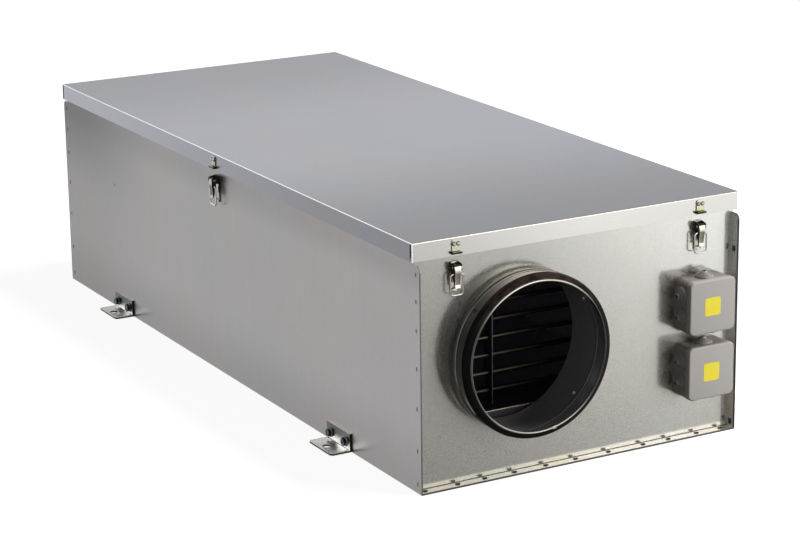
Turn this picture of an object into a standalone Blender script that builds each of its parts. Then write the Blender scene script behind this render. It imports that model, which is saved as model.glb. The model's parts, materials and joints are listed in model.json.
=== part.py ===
"""A duct air handling unit: an insulated box of galvanised sheet with a lift-off lid.

Metres, +Z up. The origin is at the middle of the underside. -Y is the end with the junction
boxes, -X is the left side as seen from that end. Every other piece takes its place from the
sizes below.
"""

import math

import bmesh
import bpy
from mathutils import Matrix, Vector

# Sheet, insulation and the gap left between neighbouring pieces
SHEET = 0.001
WALL = 0.050
SEAM = 0.0003
JOIN = 0.0004

# Steps in a quarter turn, and sides of round sections
WIDE_CORNER_STEPS = 6
CORNER_STEPS = 4
EDGE_STEPS = 3
HOLE_SIDES = 20
PIN_SIDES = 12
WIRE_SIDES = 8

# Duct spigots: the casing's height follows from them
SPIGOT_RADIUS = 0.1245
SPIGOT_WALL = 0.0012
SPIGOT_FIT = 0.0004
SPIGOT_BELOW = 0.067
SPIGOT_ABOVE = 0.0675
SPIGOT_SIDE_ROOM = 0.0615
SPIGOT_REACH = 0.048
SPIGOT_TAIL = 0.005
SPIGOT_SIDES = 40
BEAD_CENTRE = 0.0097
BEAD_HALF_WIDTH = 0.0047
BEAD_HEIGHT = 0.0023
BEAD_SHOULDER = 0.8
RIM_TAPER = 0.0035
RIM_ROLL = 0.0024
RIM_INSET = 0.0035
GASKET_WIDTH = 0.012
GASKET_BAND = 0.0010
GASKET_LIP = 0.0014
GASKET_LIP_FOOT = 0.25
GASKET_LIP_TIP = 0.6
GASKET_LIP_HEEL = 0.9

# Lid
LID_LENGTH = 1.330
LID_WIDTH = 0.580
LID_SKIRT = 0.0285
LID_OVERHANG = 0.006
LID_SEAT = 0.020
LID_PLUG = 0.025
LID_PLUG_ROOM = 0.006
LID_FOLD = 0.0016
LID_CORNER_GAP = 0.005

# Casing
TOTAL_HEIGHT = SPIGOT_BELOW + 2 * SPIGOT_RADIUS + SPIGOT_ABOVE
CASING_WIDTH = LID_WIDTH - 2 * LID_OVERHANG
CASING_LENGTH = LID_LENGTH - 2 * LID_OVERHANG
CASING_TOP = TOTAL_HEIGHT - LID_SEAT - SEAM
SKIRT_EDGE = TOTAL_HEIGHT - LID_SKIRT
FLANGE_REACH = 0.018
FLANGE_DROP = 0.005
FLANGE_CORNER = 0.009
LIP_SETBACK = 0.0015
SPIGOT_X = -CASING_WIDTH / 2 + SPIGOT_SIDE_ROOM + SPIGOT_RADIUS
SPIGOT_Z = SPIGOT_BELOW + SPIGOT_RADIUS

# Feet
FOOT_LENGTH = 0.076
FOOT_HEIGHT = 0.030
FOOT_REACH = 0.036
FOOT_THICKNESS = 0.003
FOOT_CORNER = 0.006
FOOT_HOLE_RADIUS = 0.0045
FOOT_HOLE_REACH = 0.0235
FOOT_FROM_END = 0.239

# Draw latches, measured from the casing's face and from the lever's pivot
LATCH_FROM_SIDE = 0.067
LATCH_PIVOT_DROP = 0.0165
LATCH_PIVOT_Z = SKIRT_EDGE - LATCH_PIVOT_DROP
LATCH_PIVOT_OUT = 0.0095
LATCH_WIDTH = 0.014
LATCH_PLATE = 0.0015
LATCH_EAR = 0.0012
LATCH_EAR_RADIUS = 0.0055
LATCH_ABOVE = 0.007
LATCH_BELOW = 0.0375
PIN_RADIUS = 0.0014
PIN_FIT = 0.0003
LEVER_SIDE_ROOM = 0.0006
LEVER_SHEET = 0.0011
LEVER_RADIUS = 0.0045
LEVER_LENGTH = 0.0270
LEVER_TAPER = 0.22
LEVER_TIP_OUT = 0.0016
LEVER_TIP_DROP = 0.0040
BAIL_DROP = 0.010
BAIL_REACH = 0.0327
BAIL_HALF_WIDTH = 0.0105
BAIL_CORNER = 0.0042
BAIL_WIRE = 0.0011
BAIL_STUB = 0.0010

# Keepers on the lid's skirt
KEEPER_WIDTH = 0.0137
KEEPER_HOOK_WIDTH = 0.016
KEEPER_CORNER = 0.003
KEEPER_BEND = 0.0026
KEEPER_THICKNESS = 0.0015
KEEPER_TOP_DROP = 0.0045
KEEPER_WIRE_ROOM = 0.0010
KEEPER_HOOK = 0.0012

# Junction boxes, one above the other
BOX_SIZE = 0.085
BOX_SIDE_ROOM = 0.023
BOX_LATCH_ROOM = 0.0249
BOX_ROOM = 0.0027
BOX_BODY_DEPTH = 0.033
BOX_COVER_DEPTH = 0.0095
BOX_SHELL = 0.0025
BOX_CORNER = 0.009
BOX_EDGE = 0.0025
GROMMET_RADIUS = 0.0145
GROMMET_STEP = 0.0026
GROMMET_RISE = 0.0022
GROMMET_STEPS = 3
GROMMET_SPACING = 0.034
GROMMET_DEPTH = 0.017
GROMMET_SIDES = 12
GROMMET_HEIGHT = (GROMMET_STEPS + 1) * GROMMET_RISE
BOX_X = CASING_WIDTH / 2 - BOX_SIDE_ROOM - BOX_SIZE / 2
BAIL_LOWEST = LATCH_PIVOT_Z - BAIL_DROP - BAIL_REACH - BAIL_WIRE
UPPER_BOX_Z = BAIL_LOWEST - BOX_LATCH_ROOM - GROMMET_HEIGHT - BOX_SIZE / 2
LOWER_BOX_Z = UPPER_BOX_Z - BOX_SIZE - 2 * GROMMET_HEIGHT - BOX_ROOM

# Electric heater behind the front spigot
HEATER_SETBACK = 0.009
HEATER_DEPTH = 0.080
HEATER_SHEET = 0.0015
HEATER_BASE = 0.030
HEATER_HEAD_ROOM = 0.0055
HEATER_TERMINAL_ROOM = 0.036
POST_X = SPIGOT_X
POST_DEPTH = 0.022
ROD_RADIUS = 0.004
ROD_FIT = 0.0004
ROD_BELOW = 0.0186
ROD_ABOVE = 0.0341
ROD_PASSES = 4
ROD_END_ROOM = 0.010
ROD_TERMINAL = 0.010


def clear_scene():
    for old in list(bpy.data.objects):
        bpy.data.objects.remove(old, do_unlink=True)


def finish_material(name, colour, roughness, metallic):
    material = bpy.data.materials.new(name)
    material.use_nodes = True
    shader = material.node_tree.nodes["Principled BSDF"]
    shader.inputs["Base Color"].default_value = (*colour, 1.0)
    shader.inputs["Roughness"].default_value = roughness
    shader.inputs["Metallic"].default_value = metallic
    material.diffuse_color = (*colour, 1.0)
    return material


def add_object(name, mesh, material=None, parent=None):
    """Link a mesh as one object. A parent carries it without moving its vertices."""
    part = bpy.data.objects.new(name, mesh)
    bpy.context.scene.collection.objects.link(part)
    if material:
        mesh.materials.clear()
        mesh.materials.append(material)
    if parent:
        part.parent = parent
    return part


def round_off(mesh, angle_deg=35):
    mesh.shade_smooth()
    mesh.set_sharp_from_angle(angle=math.radians(angle_deg))


def loft(rings, closed=False):
    """Skin a list of rings of points. Open lofts get a cap at each end."""
    shape = bmesh.new()
    rows = [[shape.verts.new(point) for point in ring] for ring in rings]
    pairs = list(zip(rows, rows[1:]))
    if closed:
        pairs.append((rows[-1], rows[0]))
    for near, far in pairs:
        for i in range(len(near)):
            j = (i + 1) % len(near)
            shape.faces.new((near[i], near[j], far[j], far[i]))
    if not closed:
        shape.faces.new(list(reversed(rows[0])))
        shape.faces.new(rows[-1])
    bmesh.ops.recalc_face_normals(shape, faces=shape.faces)
    mesh = bpy.data.meshes.new("shape")
    shape.to_mesh(mesh)
    shape.free()
    return mesh


def box_mesh(low, high):
    (x0, y0, z0), (x1, y1, z1) = low, high
    rings = [[(x0, y0, z), (x1, y0, z), (x1, y1, z), (x0, y1, z)] for z in (z0, z1)]
    return loft(rings)


def prism(outline, place, low, high):
    """Extrude a flat outline. place(a, b, depth) gives the point in space."""
    return loft([[place(a, b, depth) for a, b in outline] for depth in (low, high)])


def circle(radius, place, depth, sides):
    turn = 2 * math.pi / sides
    return [
        place(radius * math.cos(i * turn), radius * math.sin(i * turn), depth)
        for i in range(sides)
    ]


def cylinder(radius, place, low, high, sides):
    return loft([circle(radius, place, depth, sides) for depth in (low, high)])


def turned(profile, place, sides):
    """Revolve a closed (radius, depth) profile into a ring."""
    return loft([circle(radius, place, depth, sides) for radius, depth in profile], closed=True)


def arc(centre, radius, start_deg, end_deg, steps):
    angles = [math.radians(start_deg + (end_deg - start_deg) * i / steps) for i in range(steps + 1)]
    return [(centre[0] + radius * math.cos(a), centre[1] + radius * math.sin(a)) for a in angles]


def rounded_rectangle(width, height, corner, steps=EDGE_STEPS):
    x, y = width / 2 - corner, height / 2 - corner
    outline = []
    for centre, start in (((x, y), 0), ((-x, y), 90), ((-x, -y), 180), ((x, -y), 270)):
        outline += arc(centre, corner, start, start + 90, steps)
    return outline


def combine(part, tool_mesh, operation):
    """Join a mesh to an object, or cut it out of the object, for good."""
    tool = add_object("tool", tool_mesh)
    modifier = part.modifiers.new(operation.lower(), "BOOLEAN")
    modifier.operation = operation
    modifier.solver = "EXACT"
    modifier.object = tool
    tool.parent = part.parent
    bpy.context.view_layer.update()
    graph = bpy.context.evaluated_depsgraph_get()
    result = bpy.data.meshes.new_from_object(part.evaluated_get(graph))
    part.modifiers.clear()
    result.materials.clear()
    result.materials.append(part.data.materials[0])
    part.data = result
    bpy.data.objects.remove(tool, do_unlink=True)


def tube_mesh(points, radius, sides):
    """Sweep a round section along points, each ring square to the path."""
    rings = []
    side = None
    for i, point in enumerate(points):
        before = points[max(i - 1, 0)]
        after = points[min(i + 1, len(points) - 1)]
        along = (after - before).normalized()
        if side is None:
            side = along.orthogonal().normalized()
        side = (side - along * side.dot(along)).normalized()
        up = along.cross(side)
        turn = 2 * math.pi / sides
        rings.append(
            [point + radius * (side * math.cos(k * turn) + up * math.sin(k * turn)) for k in range(sides)]
        )
    return loft(rings)


def end_place(end):
    """Flat coordinates seen from outside an end: across, up, and outward from its face."""
    face = CASING_LENGTH / 2
    return lambda across, up, out: (across, end * (face + out), up)


def side_place(side):
    """Flat coordinates on a long side: along, up, and outward from its face."""
    face = CASING_WIDTH / 2
    return lambda along, up, out: (side * (face + out), along, up)


def make_bottom_panel(metal):
    """The bottom sheet runs past both ends as a flange, and the insulated slab lies on it."""
    half_width = CASING_WIDTH / 2 - SHEET - SEAM
    half_length = CASING_LENGTH / 2 + FLANGE_REACH
    panel = add_object(
        "bottom_panel",
        box_mesh((-half_width, -half_length, 0), (half_width, half_length, SHEET)),
        metal,
    )
    slab_x = CASING_WIDTH / 2 - WALL - SEAM
    slab_y = CASING_LENGTH / 2 - WALL - SEAM
    combine(panel, box_mesh((-slab_x, -slab_y, SHEET / 2), (slab_x, slab_y, WALL)), "UNION")


def flange_outline():
    """Outline of a side sheet: full height between the ends, lower and round-cornered past them."""
    low = SKIRT_EDGE - FLANGE_DROP
    half = CASING_LENGTH / 2
    tip = half + FLANGE_REACH
    corner = arc((tip - FLANGE_CORNER, low - FLANGE_CORNER), FLANGE_CORNER, 0, 90, WIDE_CORNER_STEPS)
    right = [(tip, 0), *corner, (half, low), (half, CASING_TOP)]
    left = [(-along, up) for along, up in reversed(right)]
    return right + left


def make_side_panel(name, side, metal):
    place = side_place(side)
    panel = add_object(name, prism(flange_outline(), place, -SHEET, 0), metal)
    half = CASING_LENGTH / 2 - SHEET - SEAM
    low = SHEET + SEAM
    slab = [(-half, low), (half, low), (half, CASING_TOP - JOIN), (-half, CASING_TOP - JOIN)]
    combine(panel, prism(slab, place, -WALL, -SHEET / 2), "UNION")


def make_end_panel(name, end, metal):
    """A tray of sheet with outward lips on three edges, its insulation, and the duct hole."""
    place = end_place(end)
    half = CASING_WIDTH / 2 - SHEET - SEAM
    low = SHEET + SEAM
    sheet = [(-half, low), (half, low), (half, CASING_TOP), (-half, CASING_TOP)]
    panel = add_object(name, prism(sheet, place, -SHEET, 0), metal)

    slab_half = CASING_WIDTH / 2 - WALL - SEAM
    slab_top = CASING_TOP - JOIN
    slab = [(-slab_half, low), (slab_half, low), (slab_half, slab_top), (-slab_half, slab_top)]
    combine(panel, prism(slab, place, -WALL, -SHEET / 2), "UNION")

    lip = FLANGE_REACH - LIP_SETBACK
    floor_lip = [(-half, low), (half, low), (half, low + SHEET), (-half, low + SHEET)]
    combine(panel, prism(floor_lip, place, -SHEET / 2, lip), "UNION")

    lip_top = SKIRT_EDGE - FLANGE_DROP - LIP_SETBACK
    corner = arc((lip - FLANGE_CORNER, lip_top - FLANGE_CORNER), FLANGE_CORNER, 0, 90, WIDE_CORNER_STEPS)
    edge = [(-SHEET / 2, low), (lip, low), *corner, (-SHEET / 2, lip_top)]
    for hand in (-1, 1):
        inner, outer = sorted((hand * (half - SHEET), hand * half))
        combine(panel, prism(edge, lambda out, up, across: place(across, up, out), inner, outer), "UNION")

    def at_spigot(across, up, out):
        return place(SPIGOT_X + across, SPIGOT_Z + up, out)

    hole = cylinder(SPIGOT_RADIUS + SPIGOT_FIT, at_spigot, -2 * WALL, WALL, SPIGOT_SIDES)
    combine(panel, hole, "DIFFERENCE")


def make_lid(metal):
    """A folded tray over the walls, with an insulation block that plugs the casing."""
    plug_x = CASING_WIDTH / 2 - WALL - LID_PLUG_ROOM
    plug_y = CASING_LENGTH / 2 - WALL - LID_PLUG_ROOM
    half_x, half_y = LID_WIDTH / 2, LID_LENGTH / 2
    seat = TOTAL_HEIGHT - LID_SEAT
    bend = arc((0, 0), LID_FOLD, 90, 0, EDGE_STEPS)
    fold = [(LID_FOLD - dx, TOTAL_HEIGHT - LID_FOLD + dz) for dx, dz in bend]
    stages = [(half_x - inset, half_y - inset, z) for inset, z in fold]
    stages += [
        (half_x, half_y, SKIRT_EDGE),
        (half_x - SHEET, half_y - SHEET, SKIRT_EDGE),
        (half_x - SHEET, half_y - SHEET, seat),
        (plug_x, plug_y, seat),
        (plug_x, plug_y, seat - LID_PLUG),
    ]
    rings = [[(-x, -y, z), (x, -y, z), (x, y, z), (-x, y, z)] for x, y, z in stages]
    lid = add_object("lid", loft(rings), metal)
    for side in (-1, 1):
        for end in (-1, 1):
            # The open corner of the folded tray, at the end of each side skirt
            x0, x1 = sorted((side * (half_x + SHEET), side * (half_x - SHEET - JOIN)))
            y0, y1 = sorted((end * (half_y - SHEET), end * (half_y - SHEET - LID_CORNER_GAP)))
            slot = box_mesh((x0, y0, SKIRT_EDGE - SHEET), (x1, y1, TOTAL_HEIGHT - LID_FOLD))
            combine(lid, slot, "DIFFERENCE")


def spigot_profile():
    """Round the section of the spigot: out along its outside, over the rolled rim, back inside."""
    radius = SPIGOT_RADIUS
    tail = -(WALL + SPIGOT_TAIL)
    bead = [
        (radius, BEAD_CENTRE - BEAD_HALF_WIDTH),
        (radius + BEAD_HEIGHT * BEAD_SHOULDER, BEAD_CENTRE - BEAD_HALF_WIDTH / 2),
        (radius + BEAD_HEIGHT, BEAD_CENTRE),
        (radius + BEAD_HEIGHT * BEAD_SHOULDER, BEAD_CENTRE + BEAD_HALF_WIDTH / 2),
        (radius, BEAD_CENTRE + BEAD_HALF_WIDTH),
    ]
    roll_centre = (radius - RIM_INSET - RIM_ROLL, SPIGOT_REACH - RIM_ROLL)
    roll = arc(roll_centre, RIM_ROLL, 0, 270, 2 * EDGE_STEPS)
    inside = radius - SPIGOT_WALL
    taper = SPIGOT_REACH - RIM_TAPER
    return [
        (radius, tail),
        *bead,
        (radius, taper),
        *roll,
        (inside, taper - SPIGOT_WALL),
        (inside, tail),
    ]


def make_spigot(name, end, metal):
    place = end_place(end)
    mesh = turned(spigot_profile(), lambda a, b, out: place(SPIGOT_X + a, SPIGOT_Z + b, out), SPIGOT_SIDES)
    round_off(mesh)
    add_object(name, mesh, metal)


def make_spigot_gasket(name, end, rubber):
    """A rubber band with two lips, stretched on the spigot behind its rim."""
    place = end_place(end)
    seat = SPIGOT_RADIUS + SEAM
    band = seat + GASKET_BAND
    tip = band + GASKET_LIP
    front = SPIGOT_REACH - RIM_TAPER
    back = front - GASKET_WIDTH
    half = GASKET_WIDTH / 2
    profile = [(seat, back), (band, back)]
    for start in (back, back + half):
        profile.append((band, start + half * GASKET_LIP_FOOT))
        profile.append((tip, start + half * GASKET_LIP_TIP))
        profile.append((band, start + half * GASKET_LIP_HEEL))
    profile += [(band, front), (seat, front)]
    mesh = turned(profile, lambda a, b, out: place(SPIGOT_X + a, SPIGOT_Z + b, out), SPIGOT_SIDES)
    round_off(mesh)
    add_object(name, mesh, rubber)


def make_foot(name, side, end, metal):
    """An angle bracket on the casing's side, its floor leg round-cornered and drilled."""
    place = side_place(side)
    middle = end * (CASING_LENGTH / 2 - FOOT_FROM_END)
    half = FOOT_LENGTH / 2
    tip = SEAM + FOOT_REACH
    upright = [(-half, 0), (half, 0), (half, FOOT_HEIGHT), (-half, FOOT_HEIGHT)]
    foot = add_object(
        name,
        prism([(middle + a, up) for a, up in upright], place, SEAM, SEAM + FOOT_THICKNESS),
        metal,
    )
    corners = arc((half - FOOT_CORNER, tip - FOOT_CORNER), FOOT_CORNER, 0, 90, CORNER_STEPS)
    corners += arc((-half + FOOT_CORNER, tip - FOOT_CORNER), FOOT_CORNER, 90, 180, CORNER_STEPS)
    start = SEAM + FOOT_THICKNESS / 2
    leg = [(-half, start), (half, start), *corners]

    def flat(along, out, up):
        return place(middle + along, up, out)

    combine(foot, prism(leg, flat, 0, FOOT_THICKNESS), "UNION")
    hole = cylinder(
        FOOT_HOLE_RADIUS,
        lambda a, b, up: flat(a, SEAM + FOOT_HOLE_REACH + b, up),
        -FOOT_THICKNESS,
        2 * FOOT_THICKNESS,
        HOLE_SIDES,
    )
    combine(foot, hole, "DIFFERENCE")


def latch_frame(name, x, y, turn_deg):
    """An empty on the lever's pivot. Its own -Y points away from the casing."""
    frame = bpy.data.objects.new(name + "_pivot", None)
    bpy.context.scene.collection.objects.link(frame)
    turn = Matrix.Rotation(math.radians(turn_deg), 4, "Z")
    outward = turn @ Vector((0, -1, 0))
    frame.matrix_world = Matrix.Translation(
        Vector((x, y, LATCH_PIVOT_Z)) + outward * LATCH_PIVOT_OUT
    ) @ turn
    return frame


def across_place(out, up, across):
    """Outlines of latch pieces lie in the plane that is square to the pivot."""
    return (across, -out, up)


def make_latch_base(name, frame, metal):
    """A plate on the casing with two ears and the lever's pin between them."""
    back = -LATCH_PIVOT_OUT + SEAM
    half = LATCH_WIDTH / 2
    low, high = -LATCH_BELOW, LATCH_ABOVE
    base = add_object(
        name,
        box_mesh((-half, -back - LATCH_PLATE, low), (half, -back, high)),
        metal,
        frame,
    )
    root = back + LATCH_PLATE / 2
    ear = [(root, LATCH_ABOVE), (root, -LATCH_ABOVE)]
    ear += arc((0, 0), LATCH_EAR_RADIUS, -100, 90, 2 * CORNER_STEPS)
    for hand in (-1, 1):
        inner, outer = sorted((hand * (half - LATCH_EAR), hand * half))
        combine(base, prism(ear, across_place, inner, outer), "UNION")
    reach = half - LATCH_EAR / 2
    pin = cylinder(PIN_RADIUS, across_place, -reach, reach, PIN_SIDES)
    combine(base, pin, "UNION")
    round_off(base.data)


def make_latch_lever(name, frame, metal):
    """A pressed channel that narrows to a turned-out tip, drilled for the pin and the bail."""
    half = LATCH_WIDTH / 2 - LATCH_EAR - LEVER_SIDE_ROOM
    front = LEVER_RADIUS
    inner_front = front - LEVER_SHEET
    tip = LEVER_LENGTH + LEVER_TIP_DROP
    flange = BAIL_WIRE + PIN_FIT + 2 * LEVER_SHEET
    outline = arc((0, 0), LEVER_RADIUS, 0, 200, 2 * CORNER_STEPS)
    outline += [
        (-flange, -BAIL_DROP + flange / 2),
        (-flange, -BAIL_DROP - flange),
        (inner_front - LEVER_SHEET, -LEVER_LENGTH),
        (inner_front + LEVER_TIP_OUT, -tip),
        (front + LEVER_TIP_OUT, -tip),
        (front, -LEVER_LENGTH),
    ]
    lever = add_object(name, prism(outline, across_place, -half, half), metal, frame)
    hollow = arc((0, 0), inner_front, 0, 90, CORNER_STEPS)
    hollow += [
        (-2 * LEVER_RADIUS, inner_front),
        (-2 * LEVER_RADIUS, -LEVER_LENGTH),
        (inner_front, -LEVER_LENGTH),
    ]
    inside = half - LEVER_SHEET
    combine(lever, prism(hollow, across_place, -inside, inside), "DIFFERENCE")
    pin_hole = cylinder(PIN_RADIUS + PIN_FIT, across_place, -2 * half, 2 * half, PIN_SIDES)
    combine(lever, pin_hole, "DIFFERENCE")
    bail_hole = cylinder(
        BAIL_WIRE + PIN_FIT,
        lambda out, up, across: across_place(out, up - BAIL_DROP, across),
        -2 * half,
        2 * half,
        WIRE_SIDES,
    )
    combine(lever, bail_hole, "DIFFERENCE")
    for vertex in lever.data.vertices:
        drop = max(0.0, -vertex.co.z - BAIL_DROP - flange)
        vertex.co.x *= 1 - LEVER_TAPER * drop / (tip - BAIL_DROP - flange)
    round_off(lever.data)


def bail_path():
    """Half of the wire's centre line, from its end inside the lever to the middle of the hook."""
    inner = LATCH_WIDTH / 2 - LATCH_EAR - LEVER_SIDE_ROOM - LEVER_SHEET - BAIL_STUB
    corner_x = BAIL_HALF_WIDTH - BAIL_CORNER
    top = arc((corner_x, -BAIL_CORNER), BAIL_CORNER, 90, 0, EDGE_STEPS)
    bottom = arc((corner_x, -BAIL_REACH + BAIL_CORNER), BAIL_CORNER, 0, -90, EDGE_STEPS)
    return [(inner, 0), *top, *bottom]


def make_latch_bail(name, frame, wire):
    half = bail_path()
    whole = half + [(-x, z) for x, z in reversed(half)]
    mesh = tube_mesh([Vector((x, 0, z)) for x, z in whole], BAIL_WIRE, WIRE_SIDES)
    round_off(mesh, 60)
    bail = add_object(name, mesh, wire, frame)
    bail.location = (0, 0, -BAIL_DROP)


def make_keeper(name, frame, metal):
    """A plate on the lid's skirt that ends in a wider hook for the bail's cross wire."""
    half = KEEPER_WIDTH / 2
    hook_half = KEEPER_HOOK_WIDTH / 2
    seat = BAIL_REACH - BAIL_DROP
    back = LID_OVERHANG + SEAM - LATCH_PIVOT_OUT
    plate = back + KEEPER_THICKNESS
    groove = plate + 2 * BAIL_WIRE + KEEPER_WIRE_ROOM
    lip = groove + KEEPER_THICKNESS
    floor = seat - BAIL_WIRE - SEAM
    bottom = floor - KEEPER_THICKNESS
    top = TOTAL_HEIGHT - KEEPER_TOP_DROP - LATCH_PIVOT_Z
    hook = floor + BAIL_WIRE + KEEPER_HOOK
    outline = [
        (back, hook),
        (back, bottom),
        *arc((lip - KEEPER_BEND, bottom + KEEPER_BEND), KEEPER_BEND, -90, 0, EDGE_STEPS),
        (lip, hook),
        (groove, hook),
        (groove, floor),
        (plate, floor),
        (plate, hook),
    ]
    keeper = add_object(name, prism(outline, across_place, -hook_half, hook_half), metal, frame)
    corner_x, corner_z = half - KEEPER_CORNER, top - KEEPER_CORNER
    face = [(-half, floor), (half, floor)]
    face += arc((corner_x, corner_z), KEEPER_CORNER, 0, 90, EDGE_STEPS)
    face += arc((-corner_x, corner_z), KEEPER_CORNER, 90, 180, EDGE_STEPS)
    sheet = prism(face, lambda across, up, out: across_place(out, up, across), back, plate)
    combine(keeper, sheet, "UNION")


def make_latches(steel, wire, zinc):
    """Two draw latches on each end and one in the middle of each long side."""
    across, along = CASING_WIDTH / 2, CASING_LENGTH / 2
    corner = across - LATCH_FROM_SIDE
    places = (
        ("front_left", -corner, -along, 0),
        ("front_right", corner, -along, 0),
        ("rear_left", -corner, along, 180),
        ("rear_right", corner, along, 180),
        ("left_side", -across, 0.0, -90),
        ("right_side", across, 0.0, 90),
    )
    for name, x, y, turn_deg in places:
        frame = latch_frame(name + "_latch", x, y, turn_deg)
        make_latch_base(name + "_latch_base", frame, steel)
        make_latch_lever(name + "_latch_lever", frame, steel)
        make_latch_bail(name + "_latch_bail", frame, wire)
        make_keeper(name + "_keeper", frame, zinc)


def grommet_mesh(place):
    """A stepped membrane cone. It starts inside the wall that it is moulded into."""
    rings = [(GROMMET_RADIUS, -BOX_SHELL / 2)]
    radius, rise = GROMMET_RADIUS, 0.0
    for _ in range(GROMMET_STEPS):
        rise += GROMMET_RISE
        rings.append((radius, rise))
        radius -= GROMMET_STEP
        rings.append((radius, rise))
    rings.append((radius - GROMMET_STEP, rise + GROMMET_RISE))
    return loft([circle(r, place, depth, GROMMET_SIDES) for r, depth in rings])


def make_junction_box(name, z, plastic, cover_plastic):
    """A shell open to the front, its cable entries on four sides, and a cover that closes it."""
    place = end_place(-1)
    front = SEAM + BOX_BODY_DEPTH

    def section(inset, out):
        outline = rounded_rectangle(
            BOX_SIZE - 2 * inset, BOX_SIZE - 2 * inset, max(BOX_CORNER - inset, BOX_EDGE)
        )
        return [place(BOX_X + a, z + b, out) for a, b in outline]

    shell = [(0, SEAM), (0, front), (BOX_SHELL, front), (BOX_SHELL, SEAM + BOX_SHELL)]
    body = add_object(name, loft([section(inset, out) for inset, out in shell]), plastic)
    half = BOX_SIZE / 2
    entries = [(hand, 0, shift) for hand in (-1, 1) for shift in (-0.5, 0.5)]
    entries += [(0, 1, 0), (0, -1, -0.5), (0, -1, 0.5)]
    for side_x, side_z, shift in entries:
        offset = shift * GROMMET_SPACING

        def on_wall(a, b, rise, side_x=side_x, side_z=side_z, offset=offset):
            reach = half + rise
            if side_x:
                return place(BOX_X + side_x * reach, z + offset + a, GROMMET_DEPTH + b)
            return place(BOX_X + offset + a, z + side_z * reach, GROMMET_DEPTH + b)

        combine(body, grommet_mesh(on_wall), "UNION")
    round_off(body.data)

    start = front + SEAM
    depth = BOX_COVER_DEPTH
    edge = [
        (BOX_EDGE - dx, start + depth - BOX_EDGE + dz)
        for dx, dz in arc((0, 0), BOX_EDGE, 0, 90, EDGE_STEPS)
    ]
    cover = loft([section(inset, out) for inset, out in [(0, start), *edge]])
    round_off(cover)
    add_object(name + "_cover", cover, cover_plastic)


def rod_heights():
    """Heights of all passes of both elements, spread evenly between the frame's base and its top."""
    lowest = WALL + HEATER_BASE + ROD_BELOW
    highest = heater_top() - HEATER_SHEET - ROD_ABOVE
    count = 2 * ROD_PASSES
    return [lowest + (highest - lowest) * index / (count - 1) for index in range(count)]


def rod_path(level):
    """Centre line of one heating element: passes to and fro across the duct."""
    right = heater_right_plate() + ROD_TERMINAL
    heights = rod_heights()[level * ROD_PASSES:(level + 1) * ROD_PASSES]
    turn = (heights[1] - heights[0]) / 2
    left_end = -(CASING_WIDTH / 2 - WALL) + HEATER_SHEET + ROD_END_ROOM + turn + ROD_RADIUS
    right_end = heater_right_plate() - HEATER_SHEET - ROD_END_ROOM - turn - ROD_RADIUS
    path = [(right, heights[0])]
    for index, z in enumerate(heights[:-1]):
        middle = z + turn
        if index % 2 == 0:
            path += arc((left_end, middle), turn, 270, 90, 2 * CORNER_STEPS)
        else:
            path += arc((right_end, middle), turn, -90, 90, 2 * CORNER_STEPS)
    path.append((right, heights[-1]))
    return path


def heater_right_plate():
    return CASING_WIDTH / 2 - WALL - SEAM - HEATER_TERMINAL_ROOM


def heater_top():
    return TOTAL_HEIGHT - LID_SEAT - LID_PLUG - HEATER_HEAD_ROOM


def make_heater(metal, rod_metal):
    """A sheet frame across the chamber, a slotted post, and two bent tube elements."""
    front = -(CASING_LENGTH / 2 - WALL) + HEATER_SETBACK
    rear = front + HEATER_DEPTH
    middle = (front + rear) / 2
    outer = CASING_WIDTH / 2 - WALL - SEAM
    floor = WALL + SEAM
    base = WALL + HEATER_BASE
    top = heater_top()
    sheet = HEATER_SHEET
    right = heater_right_plate()

    frame = add_object(
        "heater_frame",
        box_mesh((-outer, front, base - sheet), (outer, rear, base)),
        metal,
    )
    pieces = [
        ((-outer, front, floor), (outer, front + sheet, base - sheet / 2)),
        ((-outer, rear - sheet, floor), (outer, rear, base - sheet / 2)),
        ((-outer, front, base - sheet / 2), (-outer + sheet, rear, top)),
        ((right - sheet, front, base - sheet / 2), (right, rear, top)),
        ((-outer + sheet / 2, front, top - sheet), (outer, rear, top)),
        (
            (POST_X - sheet / 2, middle - POST_DEPTH / 2, base - sheet / 2),
            (POST_X + sheet / 2, middle + POST_DEPTH / 2, top - sheet / 2),
        ),
    ]
    for low, high in pieces:
        combine(frame, box_mesh(low, high), "UNION")

    def across(a, b, x):
        return (x, middle + a, b)

    spans = [(POST_X - 2 * sheet, POST_X + 2 * sheet, range(2 * ROD_PASSES))]
    ends = [level * ROD_PASSES + end for level in (0, 1) for end in (0, ROD_PASSES - 1)]
    spans.append((right - 3 * sheet, right + 2 * sheet, ends))
    heights = rod_heights()
    for low, high, passes in spans:
        for index in passes:
            z = heights[index]
            hole = cylinder(
                ROD_RADIUS + ROD_FIT, lambda a, b, x, z=z: across(a, z + b, x), low, high, PIN_SIDES
            )
            combine(frame, hole, "DIFFERENCE")

    for level, name in enumerate(("heater_lower_element", "heater_upper_element")):
        points = [Vector((x, middle, z)) for x, z in rod_path(level)]
        mesh = tube_mesh(points, ROD_RADIUS, WIRE_SIDES)
        round_off(mesh, 60)
        add_object(name, mesh, rod_metal)


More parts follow.
